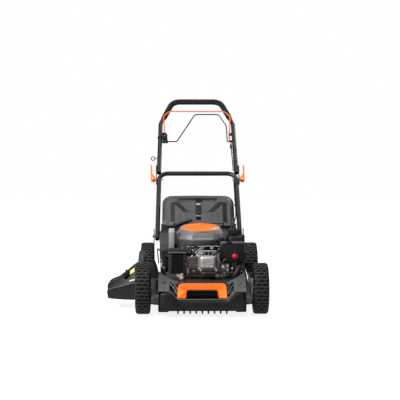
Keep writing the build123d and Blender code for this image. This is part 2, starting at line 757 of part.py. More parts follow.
with BuildPart() as air_cleaner:
    block((80, 180), (-160, -92), (195, 280))
    fillet(air_cleaner.edges().filter_by(Axis.Y), radius=8)
    block((83, 177), (-157, -95), (198, 277), mode=Mode.SUBTRACT)
    with BuildSketch(front(-150)):
        with Locations(PRIMER_AT):
            Circle(PRIMER_R)
    extrude(amount=20, mode=Mode.SUBTRACT)
keep("air_cleaner", air_cleaner)

with BuildPart() as primer_bulb:
    with BuildSketch(front(-152)):
        with Locations(PRIMER_AT):
            Circle(PRIMER_R - RUNNING_GAP)
    extrude(amount=17)
    fillet(primer_bulb.faces().sort_by(Axis.Y)[0].edges(), radius=7)
keep("primer_bulb", primer_bulb)

with BuildPart() as carburettor:
    block((CYLINDER_X + 42, 112), (-146, -120), (160, 188))
    block((84, 116), (-152, -106), (148, 194))
    post((100, -129), 14, (136, 150))
keep("carburettor", carburettor)

with BuildPart() as muffler:
    block((-129, -64), (-188, -116), (151, 240))
    fillet(muffler.edges().filter_by(Axis.Y), radius=6)
    block((-126, -67), (-185, -119), (154, 237), mode=Mode.SUBTRACT)
    for slot in range(8):
        slot_z = 160 + 9 * slot
        block((-120, -73), (-190, -184), (slot_z, slot_z + 4), mode=Mode.SUBTRACT)
    with BuildSketch(side(-66)):
        with Locations((-134, 205)):
            Circle(10)
    extrude(amount=66 + PORT_FACE)
keep("muffler", muffler)


# ---- Handle ---------------------------------------------------------------------------------------

with BuildPart() as lower_handle:
    leg = ((-LOWER_HALF, 45), (-LOWER_HALF + 3, CROSSBAR_V), (LOWER_HALF - 3, CROSSBAR_V), (LOWER_HALF, 45))
    bent_bar(HANDLE, leg, 45, TUBE_R, TUBE_WALL)
    for radius, v in ((5, PIVOT_V), (4, CAM_V)):
        cross_bar(on_handle(v), radius + RUNNING_GAP, (-220, 220), mode=Mode.SUBTRACT)
keep("lower_handle", lower_handle)

JOINT_HALF = 191.0
JOINT_V = 490.0
PLATE_IN = 201.2
PLATE_OUT = 205.2

with BuildPart() as upper_handle:
    arch = (
        (-JOINT_HALF, JOINT_V), (-UPPER_HALF, BEND_V), (-GRIP_HALF, GRIP_V), (GRIP_HALF, GRIP_V),
        (UPPER_HALF, BEND_V), (JOINT_HALF, JOINT_V),
    )
    bent_bar(HANDLE, arch, (60, 40, 40, 60), TUBE_R, TUBE_WALL)
    for span in ((-PLATE_OUT, -PLATE_IN), (PLATE_IN, PLATE_OUT)):
        handle_block(span, (410, 530), (-9, 9))
        cross_bar(on_handle(CAM_V), 4 + RUNNING_GAP, span, mode=Mode.SUBTRACT)
    for v in (BRAKE_BAIL_V, DRIVE_BAIL_V):
        cross_bar(on_handle(v), WIRE_R + RUNNING_GAP, (-UPPER_HALF, UPPER_HALF), mode=Mode.SUBTRACT)
keep("upper_handle", upper_handle)

SLEEVE_V = 885.0
SLEEVE_X = UPPER_HALF - (UPPER_HALF - GRIP_HALF) * (SLEEVE_V - BEND_V) / (GRIP_V - BEND_V)

with BuildPart() as grip_sleeve:
    arch = ((-SLEEVE_X, SLEEVE_V), (-GRIP_HALF, GRIP_V), (GRIP_HALF, GRIP_V), (SLEEVE_X, SLEEVE_V))
    bent_bar(HANDLE, arch, 40, 14.5, 3.4)
keep("grip_sleeve", grip_sleeve)

CAM_X = 219.0
CAM_R = 11.0

with BuildPart() as cam_bolts:
    for bolt in ((-215, -172), (172, 215)):
        cross_bar(on_handle(CAM_V), 4, bolt)
    for head in ((-174, -170), (170, 174)):
        cross_bar(on_handle(CAM_V), 7, head)
    for cam_x in (-CAM_X, CAM_X):
        with BuildSketch(HANDLE.offset(-10)):
            with Locations((cam_x, CAM_V)):
                Circle(3)
        extrude(amount=20)
        eye = (cam_x - 4, cam_x + 4)
        handle_block(eye, (CAM_V - 4, CAM_V + 4), (-4, 4))
keep("cam_bolts", cam_bolts)


def cam_lever(name, sign):
    """An over-centre lever that turns on the cross pin at the end of its cam bolt."""
    pin = (sign * CAM_X, CAM_V)
    with BuildPart() as lever:
        with BuildSketch(HANDLE.offset(-10)):
            with Locations(pin):
                Circle(CAM_R)
            with Locations((sign * (CAM_X + CAM_R - 4), CAM_V + 50)):
                Rectangle(8, 92)
        extrude(amount=20)
        with BuildSketch(HANDLE.offset(-4.6)):
            with Locations(pin):
                Circle(CAM_R + 6)
        extrude(amount=9.2, mode=Mode.SUBTRACT)
        with BuildSketch(HANDLE.offset(-11)):
            with Locations(pin):
                Circle(3 + RUNNING_GAP)
        extrude(amount=22, mode=Mode.SUBTRACT)
    keep(name, lever)


cam_lever("cam_lever_left", -1)
cam_lever("cam_lever_right", 1)


def bail_plane(v):
    """The plane of a released bail whose pivots are v up the handle."""
    y, z = on_handle(v)
    lean = radians(BAIL_REST_ANGLE)
    return Plane(origin=(0, y, z), x_dir=(1, 0, 0), z_dir=(0, -sin(lean), cos(lean)))


with BuildPart() as brake_bail:
    wire = (
        (-184, 0), (-165, 0), (-172, 106), (-141, 133), (141, 133), (172, 106), (165, 0), (184, 0),
    )
    bent_bar(bail_plane(BRAKE_BAIL_V), wire, (4, 14, 14, 14, 14, 4), WIRE_R)
    pull = (165, *on_handle(BRAKE_BAIL_V))
    drop = 38.0
    lean = radians(BAIL_REST_ANGLE)
    bar_between(pull, (166, pull[1] - drop * cos(lean), pull[2] - drop * sin(lean)), WIRE_R)
keep("brake_bail", brake_bail)

with BuildPart() as drive_bail:
    wire = ((-184, 0), (-103, 0), (-10, 156), (111, 156), (150, 91), (154, 0), (184, 0))
    bent_bar(bail_plane(DRIVE_BAIL_V), wire, (12, 25, 20, 30, 5), WIRE_R)
keep("drive_bail", drive_bail)

with BuildPart() as control_pod:
    handle_block((-177, -151), (718, 758), (-12, 16))
    fillet(control_pod.edges(), radius=5)
keep("control_pod", control_pod)

with BuildPart() as rope_guide:
    guide_y, guide_z = on_handle(586)
    bar_between((-201, guide_y, guide_z), (-213, guide_y, guide_z), 2.5)
    with Locations(Location((-222, guide_y, guide_z), (90, 0, 0))):
        Torus(9, 2.5)
keep("rope_guide", rope_guide)

CABLE_R = 2.5

with BuildPart() as upper_cable:
    cable = ((170, 706), (172, 668), (173, 625), (175, 580), (176, 536), (176.5, 497))
    bent_bar(HANDLE, cable, 120, CABLE_R)
keep("upper_cable", upper_cable)

with BuildPart() as lower_cable:
    cable = ((177, 425), (176, 380), (177, 330), (177, 280), (177.5, 262))
    bent_bar(HANDLE.offset(7), cable, 120, CABLE_R)
keep("lower_cable", lower_cable)

with BuildPart() as deck_cable:
    clip_y, clip_z = on_handle(257, 7)
    cable = (
        (178, clip_y, clip_z), (177, 470, 397), (176, 436, 374), (172, 405, 356), (162, 380, 342),
        (152, 352, 330), (145, 322, 318), (140, 290, 302), (138, 260, 283), (137, 232, 258),
        (136, 212, 224), (135, 196, 186), (134, 180, 152), (133, 172, 129),
    )
    runs = [Vector(*b) - Vector(*a) for a, b in zip(cable, cable[1:])]
    radii = []
    for before, after in zip(runs, runs[1:]):
        half_turn = radians(before.get_angle(after) / 2)
        radii.append(0.45 * min(before.length, after.length) / tan(half_turn))
    print("deck_cable radii", [round(r) for r in radii])
    with BuildLine() as path:
        FilletPolyline(*cable, radius=radii)
    with BuildSketch(Plane(origin=path.line @ 0, z_dir=path.line % 0)):
        Circle(CABLE_R)
    sweep(path=path.line)
keep("deck_cable", deck_cable)


# ---- Origin and export ----------------------------------------------------------------------------

whole = Compound(list(pieces.values())).bounding_box()
to_origin = Pos(-whole.center().X, -whole.center().Y, 0)

os.makedirs("parts", exist_ok=True)
for name, piece in pieces.items():
    placed = piece.moved(to_origin)
    placed.label = name
    export_step(placed, f"parts/{name}.step")
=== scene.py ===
from math import copysign, cos, hypot, pi, radians, sin, sqrt

import bmesh
import bpy
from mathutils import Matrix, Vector


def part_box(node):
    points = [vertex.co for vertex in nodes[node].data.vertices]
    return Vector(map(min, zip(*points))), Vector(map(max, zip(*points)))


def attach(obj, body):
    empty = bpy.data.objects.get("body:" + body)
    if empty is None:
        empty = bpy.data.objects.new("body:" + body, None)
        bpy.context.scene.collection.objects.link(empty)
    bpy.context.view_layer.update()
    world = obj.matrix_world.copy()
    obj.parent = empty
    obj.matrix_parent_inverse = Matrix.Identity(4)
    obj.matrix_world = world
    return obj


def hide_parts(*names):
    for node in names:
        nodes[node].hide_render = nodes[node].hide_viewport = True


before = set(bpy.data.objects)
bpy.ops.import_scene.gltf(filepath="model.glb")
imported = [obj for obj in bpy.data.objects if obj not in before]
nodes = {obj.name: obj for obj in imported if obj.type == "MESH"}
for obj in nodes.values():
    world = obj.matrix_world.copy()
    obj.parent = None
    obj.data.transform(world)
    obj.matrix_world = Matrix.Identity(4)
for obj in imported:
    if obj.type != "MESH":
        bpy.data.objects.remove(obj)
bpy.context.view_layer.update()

# Lengths below are in millimetres from the crankshaft: x from the middle of the deck, y from the
# shaft with the front at -y, z from the ground. The shaft's own place gives the row frame's shift.
crank_low, crank_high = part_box("crankshaft")
SHAFT = Vector(((crank_low.x + crank_high.x) / 2, (crank_low.y + crank_high.y) / 2, 0.0))
MM = 0.001


def at(x, y, z):
    """A point of the row frame, in metres, from mower millimetres."""
    return SHAFT + Vector((x, y, z)) * MM


# ---- Mesh building ------------------------------------------------------------------------


def SIDE(u, v, w):
    """Side view: u along the mower, v up, w across."""
    return (w, u, v)


def FRONT(u, v, w):
    """Front view: u across, v up, w along the mower."""
    return (u, w, v)


def TOP(u, v, w):
    """Top view: u across, v along the mower, w up."""
    return (u, v, w)


HANDLE_LEAN = radians(45.4)
HANDLE_FOOT = (330, 235)


def HANDLE(u, v, w):
    """The handle's own view: u across, v up the handle, w out of its plane."""
    y = HANDLE_FOOT[0] + v * cos(HANDLE_LEAN) - w * sin(HANDLE_LEAN)
    z = HANDLE_FOOT[1] + v * sin(HANDLE_LEAN) + w * cos(HANDLE_LEAN)
    return (u, y, z)


CAP_LEAN = radians(9)


def CAP(u, v, w):
    """The starter cover's tilted view: u across, v along, w out of it."""
    y = v * cos(CAP_LEAN) - w * sin(CAP_LEAN)
    z = 330 + v * sin(CAP_LEAN) + w * cos(CAP_LEAN)
    return (u, y, z)


GRAB_LEAN = radians(14)


def GRAB(u, v, w):
    """The front grab handle's view: u across, v up the handle, w out to the front."""
    y = -392 + v * sin(GRAB_LEAN) - w * cos(GRAB_LEAN)
    z = 70 + v * cos(GRAB_LEAN) + w * sin(GRAB_LEAN)
    return (u, y, z)


def spline(points, steps=6, closed=False):
    """Points of a smooth line through the given points."""
    line = [Vector(p) for p in points]
    count = len(line)
    smooth = []
    spans = count if closed else count - 1
    for i in range(spans):
        a = line[(i - 1) % count] if closed or i else line[0]
        b = line[i]
        c = line[(i + 1) % count]
        d = line[(i + 2) % count] if closed or i + 2 < count else line[-1]
        for k in range(steps):
            t = k / steps
            point = b * 2 + (c - a) * t + (a * 2 - b * 5 + c * 4 - d) * t * t
            point += (b * 3 - a - c * 3 + d) * t**3
            smooth.append(point * 0.5)
    if not closed:
        smooth.append(line[-1])
    return smooth


def rounded(points, radius, steps=4):
    """A flat outline with its corners rounded; radius is one number or one for each corner."""
    count = len(points)
    radii = radius if isinstance(radius, (list, tuple)) else [radius] * count
    outline = []
    for i, r in enumerate(radii):
        here = Vector(points[i])
        before = Vector(points[i - 1]) - here
        after = Vector(points[(i + 1) % count]) - here
        reach = min(r, before.length * 0.49, after.length * 0.49)
        if reach < 0.05:
            outline.append(tuple(here))
            continue
        start = here + before.normalized() * reach
        end = here + after.normalized() * reach
        for k in range(steps + 1):
            t = k / steps
            outline.append(tuple(start * (1 - t) ** 2 + here * 2 * t * (1 - t) + end * t * t))
    return outline


def plate(u, v, radius, steps=4):
    """A flat rectangle between two values of u and two of v, with its corners rounded."""
    return rounded([(u[0], v[0]), (u[1], v[0]), (u[1], v[1]), (u[0], v[1])], radius, steps)


def circle(u, v, radius, count=24):
    """A flat round outline."""
    turn = 2 * pi / count
    return [(u + radius * cos(turn * k), v + radius * sin(turn * k)) for k in range(count)]


class Solid:
    """Collects shapes in mower millimetres and turns them into one object."""

    def __init__(self, name):
        self.name = name
        self.bm = bmesh.new()
        self.materials = []

    def add(self, verts, faces, material, bevel=0.0, segments=2, sharp=30, thickness=0.0):
        part = bmesh.new()
        made = [part.verts.new(v) for v in verts]
        for face in faces:
            part.faces.new([made[i] for i in face])
        bmesh.ops.remove_doubles(part, verts=part.verts, dist=0.001)
        bmesh.ops.recalc_face_normals(part, faces=part.faces)
        if thickness:
            bmesh.ops.solidify(part, geom=part.faces[:], thickness=thickness)
            bmesh.ops.recalc_face_normals(part, faces=part.faces)
        if bevel:
            limit = radians(sharp)
            edges = [e for e in part.edges if len(e.link_faces) == 2 and e.calc_face_angle() > limit]
            bmesh.ops.bevel(
                part, geom=edges, offset=bevel, segments=segments, profile=0.5,
                affect="EDGES", clamp_overlap=True,
            )
        if material not in self.materials:
            self.materials.append(material)
        for face in part.faces:
            face.material_index = self.materials.index(material)
        scratch = bpy.data.meshes.new("scratch")
        part.to_mesh(scratch)
        part.free()
        self.bm.from_mesh(scratch)
        bpy.data.meshes.remove(scratch)
        return self

    def box(self, x, y, z, material, bevel=1.0):
        verts = [(a, b, c) for a in x for b in y for c in z]
        faces = [(0, 1, 3, 2), (4, 6, 7, 5), (0, 4, 5, 1), (2, 3, 7, 6), (0, 2, 6, 4), (1, 5, 7, 3)]
        return self.add(verts, faces, material, bevel)

    def prism(self, outline, view, depth, material, bevel=0.0, segments=2, sharp=30):
        count = len(outline)
        verts = [view(u, v, w) for w in depth for u, v in outline]
        faces = [tuple(range(count)), tuple(range(2 * count - 1, count - 1, -1))]
        faces += [(i, (i + 1) % count, count + (i + 1) % count, count + i) for i in range(count)]
        return self.add(verts, faces, material, bevel, segments, sharp)

    def loft(self, rings, material, closed=True, caps=True, bevel=0.0, segments=2, thickness=0.0):
        count = len(rings[0])
        verts = [point for ring in rings for point in ring]
        faces = []
        last = count if closed else count - 1
        for r in range(len(rings) - 1):
            for i in range(last):
                j = (i + 1) % count
                faces.append((r * count + i, r * count + j, (r + 1) * count + j, (r + 1) * count + i))
        if closed and caps:
            faces.append(tuple(range(count)))
            faces.append(tuple(range(len(verts) - 1, len(verts) - count - 1, -1)))
        return self.add(verts, faces, material, bevel, segments, thickness=thickness)

    def lathe(self, profile, view, centre, material, segments=48, loop=False):
        """Turns (radius, height) points round the view's third axis at centre (u, v)."""
        rings = []
        for k in range(segments):
            a = 2 * pi * k / segments
            ring = [
                view(centre[0] + r * cos(a), centre[1] + r * sin(a), h)
                for r, h in profile
            ]
            rings.append(ring)
        count = len(profile)
        verts = [point for ring in rings for point in ring]
        faces = []
        for k in range(segments):
            n = (k + 1) % segments
            for i in range(count if loop else count - 1):
                j = (i + 1) % count
                quad = [k * count + i, k * count + j, n * count + j, n * count + i]
                if profile[i][0] == 0:
                    quad.pop(0)
                elif profile[j][0] == 0:
                    quad.pop(2)
                faces.append(tuple(quad))
        return self.add(verts, faces, material)

    def tube(self, points, radius, material, sides=10, steps=6, closed=False):
        """A round bar along a smooth line; radius is one number, or one for each point."""
        line = spline(points, steps, closed)
        radii = radius if isinstance(radius, (list, tuple)) else [radius] * len(points)
        rings = []
        normal = None
        for k, point in enumerate(line):
            ahead = line[(k + 1) % len(line)] if closed or k + 1 < len(line) else point
            behind = line[k - 1] if closed or k else point
            along = (ahead - behind).normalized()
            if normal is None:
                normal = along.orthogonal().normalized()
            normal = (normal - along * normal.dot(along)).normalized()
            other = along.cross(normal)
            here = min(k / steps, len(radii) - 1)
            low = int(here)
            high = min(low + 1, len(radii) - 1)
            r = radii[low] + (radii[high] - radii[low]) * (here - low)
            turn = 2 * pi / sides
            rings.append(
                [point + (normal * cos(turn * i) + other * sin(turn * i)) * r for i in range(sides)]
            )
        if closed:
            rings.append(rings[0])
        return self.loft(rings, material, caps=not closed)

    def bolt(self, centre, view, low, material, radius=5.0, height=3.5, washer=True):
        """A hexagon head on its washer."""
        if washer:
            self.prism(circle(*centre, radius * 1.45, 20), view, (low, low + height * 0.25), material)
            low += height * 0.25
        self.prism(circle(*centre, radius, 6), view, (low, low + height), material, bevel=0.5, segments=1)
        return self

    def done(self, body, replaces=(), smooth=38):
        for vert in self.bm.verts:
            vert.co = at(*vert.co)
        mesh = bpy.data.meshes.new(self.name)
        self.bm.to_mesh(mesh)
        self.bm.free()
        for material in self.materials:
            mesh.materials.append(material)
        mesh.polygons.foreach_set("use_smooth", [True] * len(mesh.polygons))
        mesh.set_sharp_from_angle(angle=radians(smooth))
        made = bpy.data.objects.new(self.name, mesh)
        bpy.context.scene.collection.objects.link(made)
        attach(made, body)
        if replaces:
            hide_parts(*replaces)
        return made


CABLE_RADIUS = 2.5


def cable(name, points, body, node):
    """A held cable: one smooth NURBS line with the route's points as its control points."""
    curve = bpy.data.curves.new(name, "CURVE")
    curve.dimensions = "3D"
    curve.bevel_depth = CABLE_RADIUS * MM
    curve.bevel_resolution = 3
    curve.use_fill_caps = True
    curve.resolution_u = 8
    line = curve.splines.new("NURBS")
    line.points.add(len(points) - 1)
    for control, point in zip(line.points, points):
        control.co = (*at(*point), 1.0)
    line.order_u = 3
    line.use_endpoint_u = True
    curve.materials.append(black_plastic)
    made = bpy.data.objects.new(name, curve)
    bpy.context.scene.collection.objects.link(made)
    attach(made, body)
    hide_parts(node)
    return made


# ---- Materials ----------------------------------------------------------------------------


def surface(
    name, colour, colour_2=None, patch=18.0, metallic=0.0, rough=(0.4, 0.6), grain=900.0,
    bump=0.2, depth=0.0002, edge_wear_and_highlight=None, coat=0.0, specular=0.3, sheen=0.0, weave=0.0, flake=None,
):
    """A procedural finish: two blended tones, uneven roughness, a fine bump and lighter edges, part wear and
    part painted highlight.
    """
    made = bpy.data.materials.new(name)
    made.use_nodes = True
    tree = made.node_tree
    new, link = tree.nodes.new, tree.links.new
    shader = tree.nodes["Principled BSDF"]
    shader.inputs["Metallic"].default_value = metallic
    shader.inputs["Specular IOR Level"].default_value = specular
    if coat:
        shader.inputs["Coat Weight"].default_value = coat
        shader.inputs["Coat Roughness"].default_value = 0.18
    if sheen:
        shader.inputs["Sheen Weight"].default_value = sheen
        shader.inputs["Sheen Roughness"].default_value = 0.5
    place = new("ShaderNodeTexCoord").outputs["Object"]

    def noise(scale, detail=3.0):
        texture = new("ShaderNodeTexNoise")
        texture.inputs["Scale"].default_value = scale
        texture.inputs["Detail"].default_value = detail
        texture.inputs["Roughness"].default_value = 0.6
        link(place, texture.inputs["Vector"])
        return texture.outputs["Fac"]

    ramp = new("ShaderNodeValToRGB")
    ramp.color_ramp.elements[0].position = 0.35
    ramp.color_ramp.elements[1].position = 0.68
    ramp.color_ramp.elements[0].color = (*colour, 1)
    ramp.color_ramp.elements[1].color = (*(colour_2 or [c * 1.25 for c in colour]), 1)
    link(noise(patch), ramp.inputs["Fac"])
    tone = ramp.outputs["Color"]
    if flake:
        spots = new("ShaderNodeTexVoronoi")
        spots.inputs["Scale"].default_value = flake[0]
        link(place, spots.inputs["Vector"])
        cut = new("ShaderNodeMapRange")
        cut.inputs["From Min"].default_value = 0.15
        cut.inputs["From Max"].default_value = 0.5
        cut.inputs["To Min"].default_value = 1.0
        cut.inputs["To Max"].default_value = 0.0
        link(spots.outputs["Distance"], cut.inputs["Value"])
        mix = new("ShaderNodeMix")
        mix.data_type = "RGBA"
        mix.inputs[7].default_value = (*flake[1], 1)
        link(cut.outputs["Result"], mix.inputs["Factor"])
        link(tone, mix.inputs[6])
        tone = mix.outputs[2]
    # Convex edges blend towards a lighter colour: partly wear, partly a painted highlight along the edges.
    if edge_wear_and_highlight:
        edge = new("ShaderNodeNewGeometry").outputs["Pointiness"]
        edge_wear_and_highlight_mask = new("ShaderNodeMapRange")
        edge_wear_and_highlight_mask.inputs["From Min"].default_value = 0.52
        edge_wear_and_highlight_mask.inputs["From Max"].default_value = 0.6
        edge_wear_and_highlight_mask.inputs["To Max"].default_value = 0.7
        link(edge, edge_wear_and_highlight_mask.inputs["Value"])
        mix = new("ShaderNodeMix")
        mix.data_type = "RGBA"
        mix.inputs[7].default_value = (*edge_wear_and_highlight, 1)
        link(edge_wear_and_highlight_mask.outputs["Result"], mix.inputs["Factor"])
        link(tone, mix.inputs[6])
        tone = mix.outputs[2]
    link(tone, shader.inputs["Base Color"])

    spread = new("ShaderNodeMapRange")
    spread.inputs["To Min"].default_value = rough[0]
    spread.inputs["To Max"].default_value = rough[1]
    link(noise(patch * 3.1), spread.inputs["Value"])
    link(spread.outputs["Result"], shader.inputs["Roughness"])

    height = noise(grain, 2.0)
    if weave:
        threads = []
        for axis in ("X", "Y", "Z"):
            wave = new("ShaderNodeTexWave")
            wave.bands_direction = axis
            wave.inputs["Scale"].default_value = weave
            wave.inputs["Distortion"].default_value = 0.6
            link(place, wave.inputs["Vector"])
            threads.append(wave.outputs["Fac"])
        woven = height
        for thread in threads:
            add = new("ShaderNodeMath")
            add.operation = "ADD"
            link(woven, add.inputs[0])
            link(thread, add.inputs[1])
            woven = add.outputs[0]
        height = woven
    rise = new("ShaderNodeBump")
    rise.inputs["Strength"].default_value = bump
    rise.inputs["Distance"].default_value = depth
    link(height, rise.inputs["Height"])
    link(rise.outputs["Normal"], shader.inputs["Normal"])
    return made


tyre_rubber = surface("tyre_rubber", (0.0045, 0.0045, 0.005), (0.0095, 0.009, 0.009), 30, rough=(0.6, 0.85),
                      grain=1400, bump=0.35, depth=0.0004, specular=0.2, edge_wear_and_highlight=(0.02, 0.02, 0.02))
wheel_plastic = surface("wheel_plastic", (0.008, 0.008, 0.009), (0.013, 0.013, 0.014), 25, rough=(0.38, 0.55),
                        grain=2200, bump=0.12, edge_wear_and_highlight=(0.03, 0.03, 0.033))
zinc = surface(
    "zinc", (0.36, 0.37, 0.38), (0.5, 0.51, 0.52), 60, metallic=0.9, rough=(0.25, 0.42), grain=1500,
    bump=0.12,
)
dull_zinc = surface(
    "dull_zinc", (0.08, 0.08, 0.085), (0.17, 0.17, 0.175), 40, metallic=0.8, rough=(0.35, 0.55), grain=1300,
    bump=0.15,
)
steel = surface("steel", (0.3, 0.3, 0.31), (0.5, 0.5, 0.5), 50, metallic=0.95, rough=(0.25, 0.45), grain=900,
                bump=0.15, edge_wear_and_highlight=(0.7, 0.7, 0.7))
black_steel = surface("black_steel", (0.005, 0.005, 0.0055), (0.0085, 0.0085, 0.009), 30, rough=(0.34, 0.46),
                      grain=2400, bump=0.05, depth=0.00005, coat=0.06)
deck_paint = surface("deck_paint", (0.006, 0.006, 0.0065), (0.011, 0.011, 0.0115), 16, rough=(0.34, 0.5),
                     grain=700, bump=0.18, depth=0.0002, coat=0.12, edge_wear_and_highlight=(0.025, 0.025, 0.025))
cover_plastic = surface("cover_plastic", (0.034, 0.034, 0.0355), (0.045, 0.045, 0.047), 14, rough=(0.36, 0.5),
                        grain=2600, bump=0.18, depth=0.00015, specular=0.5, edge_wear_and_highlight=(0.06, 0.06, 0.06))
black_plastic = surface(
    "black_plastic", (0.0035, 0.0035, 0.004), (0.0065, 0.0065, 0.007), 22, rough=(0.42, 0.58), grain=2300,
    bump=0.15, specular=0.17, edge_wear_and_highlight=(0.016, 0.016, 0.016),
)
# Near-black: painted shade laid into holes, slots, vents, pockets and gaps.
painted_shade = surface("painted_shade", (0.002, 0.002, 0.002), (0.003, 0.003, 0.003), 30, rough=(0.8, 0.95), grain=600,
                   bump=0.2, specular=0.1)
lip_grey = surface("lip_grey", (0.07, 0.07, 0.072), (0.09, 0.09, 0.092), 20, rough=(0.3, 0.4), grain=2400,
                   bump=0.1, specular=0.5)
grey_plastic = surface("grey_plastic", (0.075, 0.07, 0.073), (0.098, 0.092, 0.096), 12, rough=(0.36, 0.5),
                       grain=2400, bump=0.14, coat=0.08, edge_wear_and_highlight=(0.16, 0.155, 0.16))
cowl_painted_shade = surface("cowl_painted_shade", (0.018, 0.017, 0.018), (0.026, 0.0245, 0.026), 12, rough=(0.36, 0.5),
                     grain=2400, bump=0.14, edge_wear_and_highlight=(0.05, 0.05, 0.05))
pale_grey = surface(
    "pale_grey", (0.17, 0.163, 0.168), (0.215, 0.208, 0.213), 12, rough=(0.35, 0.5), grain=2200, bump=0.14,
    coat=0.08, edge_wear_and_highlight=(0.34, 0.33, 0.34),
)
orange_plastic = surface("orange_plastic", (0.76, 0.105, 0.004), (0.86, 0.135, 0.007), 12, rough=(0.32, 0.44),
                         grain=2600, bump=0.08, depth=0.0001, coat=0.08, edge_wear_and_highlight=(0.95, 0.24, 0.04))
orange_wire = surface(
    "orange_wire", (0.66, 0.085, 0.005), (0.76, 0.115, 0.009), 30, rough=(0.32, 0.45), grain=1800, bump=0.1,
    depth=0.0001, coat=0.1,
)
alloy = surface("alloy", (0.27, 0.262, 0.255), (0.39, 0.38, 0.37), 45, metallic=0.55, rough=(0.38, 0.6),
                grain=1100, bump=0.4, depth=0.0004, edge_wear_and_highlight=(0.56, 0.55, 0.54), flake=(900, (0.17, 0.16, 0.155)))
alloy_dark = surface(
    "alloy_dark", (0.11, 0.11, 0.115), (0.18, 0.18, 0.185), 40, metallic=0.5, rough=(0.42, 0.65), grain=900,
    bump=0.45, depth=0.0004, edge_wear_and_highlight=(0.36, 0.36, 0.37),
)
# Aluminium tinted brown-pink: a painted reflection of the orange parts above it.
orange_reflection_alloy = surface("orange_reflection_alloy", (0.26, 0.15, 0.122), (0.37, 0.225, 0.185), 35, metallic=0.2,
                     rough=(0.5, 0.7), grain=800, bump=0.5, depth=0.0005, edge_wear_and_highlight=(0.5, 0.36, 0.31))
exhaust_steel = surface("exhaust_steel", (0.005, 0.0048, 0.0048), (0.012, 0.011, 0.01), 26, metallic=0.2,
                        rough=(0.5, 0.7), grain=700, bump=0.3, depth=0.0003, edge_wear_and_highlight=(0.035, 0.033, 0.031))
red_rubber = surface(
    "red_rubber", (0.42, 0.003, 0.02), (0.56, 0.007, 0.032), 40, rough=(0.28, 0.42), grain=1800, bump=0.1,
)
black_rubber = surface("black_rubber", (0.0055, 0.0055, 0.006), (0.01, 0.01, 0.01), 40, rough=(0.5, 0.7),
                       grain=1500, bump=0.2)
foam = surface(
    "foam", (0.0055, 0.0055, 0.006), (0.0105, 0.0105, 0.011), 40, rough=(0.75, 0.95), grain=650, bump=0.5,
    depth=0.0006, specular=0.2,
)
bag_fabric = surface(
    "bag_fabric", (0.009, 0.009, 0.0095), (0.016, 0.016, 0.017), 12, rough=(0.75, 0.95), grain=500, bump=0.5,
    depth=0.0005, sheen=0.1, weave=260,
)
bag_plastic = surface("bag_plastic", (0.036, 0.037, 0.038), (0.046, 0.0475, 0.0485), 9, rough=(0.42, 0.56),
                      grain=1900, bump=0.2, depth=0.0002, edge_wear_and_highlight=(0.06, 0.062, 0.064))
bag_dark = surface(
    "bag_dark", (0.006, 0.0063, 0.0066), (0.0095, 0.0098, 0.010), 14, rough=(0.5, 0.65), grain=1900, bump=0.2,
    specular=0.2,
)
ceramic = surface(
    "ceramic", (0.75, 0.73, 0.7), (0.85, 0.83, 0.8), 50, rough=(0.15, 0.25), grain=900, bump=0.05,
)
pale_label = surface(
    "pale_label", (0.3, 0.3, 0.3), (0.4, 0.4, 0.4), 60, rough=(0.35, 0.5), grain=900, bump=0.1,
)
yellow_label = surface(
    "yellow_label", (0.5, 0.4, 0.012), (0.62, 0.5, 0.03), 40, rough=(0.35, 0.5), grain=1200, bump=0.06,
)
port_plastic = surface(
    "port_plastic", (0.3, 0.27, 0.13), (0.42, 0.38, 0.2), 40, rough=(0.35, 0.5), grain=1200, bump=0.1,
)
belt_rubber = surface("belt_rubber", (0.010, 0.0095, 0.009), (0.02, 0.019, 0.018), 60, rough=(0.7, 0.9),
                      grain=1200, bump=0.4)
grass_steel = surface("grass_steel", (0.05, 0.05, 0.052), (0.16, 0.16, 0.165), 22, metallic=0.85,
                      rough=(0.3, 0.55), grain=600, bump=0.3, depth=0.0003, edge_wear_and_highlight=(0.6, 0.6, 0.6))


def finish_node(name, material):
    """Gives a carried-over CAD node its finish."""
    mesh = nodes[name].data
    mesh.materials.clear()
    mesh.materials.append(material)


# ---- Wheels -------------------------------------------------------------------------------


def tyre(name, body, centre, outer_r):
    """A tyre with wavy tread bars that pair up into diamonds, and a ribbed side wall."""
    x, y, z = centre
    solid = Solid(name + "_look")
    inner = outer_r - 24
    half = [
        (inner, 24), (inner + 2, 27), (inner + 6, 28), (inner + 7, 29.3), (inner + 10, 29.3),
        (inner + 11, 28.4), (outer_r - 11, 28.2), (outer_r - 8, 27), (outer_r - 5.6, 22),
    ]
    profile = [(r, -w) for r, w in half] + [(outer_r - 5, 0)] + half[::-1]
    solid.lathe(profile, SIDE_AXIS(x), (y, z), tyre_rubber, segments=96, loop=True)
    rows = 2 * round(pi * outer_r / 15)
    stations = (-29.4, -28.4, -23.5, -17.5, -11.6, -5.8, 0, 5.8, 11.6, 17.5, 23.5, 28.4, 29.4)
    for row in range(rows):
        phase = 1 if row % 2 else -1
        middle = 2 * pi * row / rows
        rings = []
        for w in stations:
            wave = phase * 3.1 * cos(2 * pi * w / 23.4)
            edge = abs(w)
            top = outer_r if edge < 22 else outer_r - 0.9 if edge < 25 else outer_r - 4.6
            low = outer_r - 6.5
            if edge > 29:
                top, low = outer_r - 12, outer_r - 13
            elif edge > 28:
                low = outer_r - 12
            ring = []
            for radius, spread in ((low, -4.4), (top, -3.3), (top, 3.3), (low, 4.4)):
                a = middle + (wave + spread) / outer_r
                ring.append((x + w, y + radius * cos(a), z + radius * sin(a)))
            rings.append(ring)
        solid.loft(rings, tyre_rubber)
    return solid.done(body, replaces=[name], smooth=32)


def SIDE_AXIS(x):
    """The side view with its depth counted from x."""
    return lambda u, v, w: (x + w, u, v)


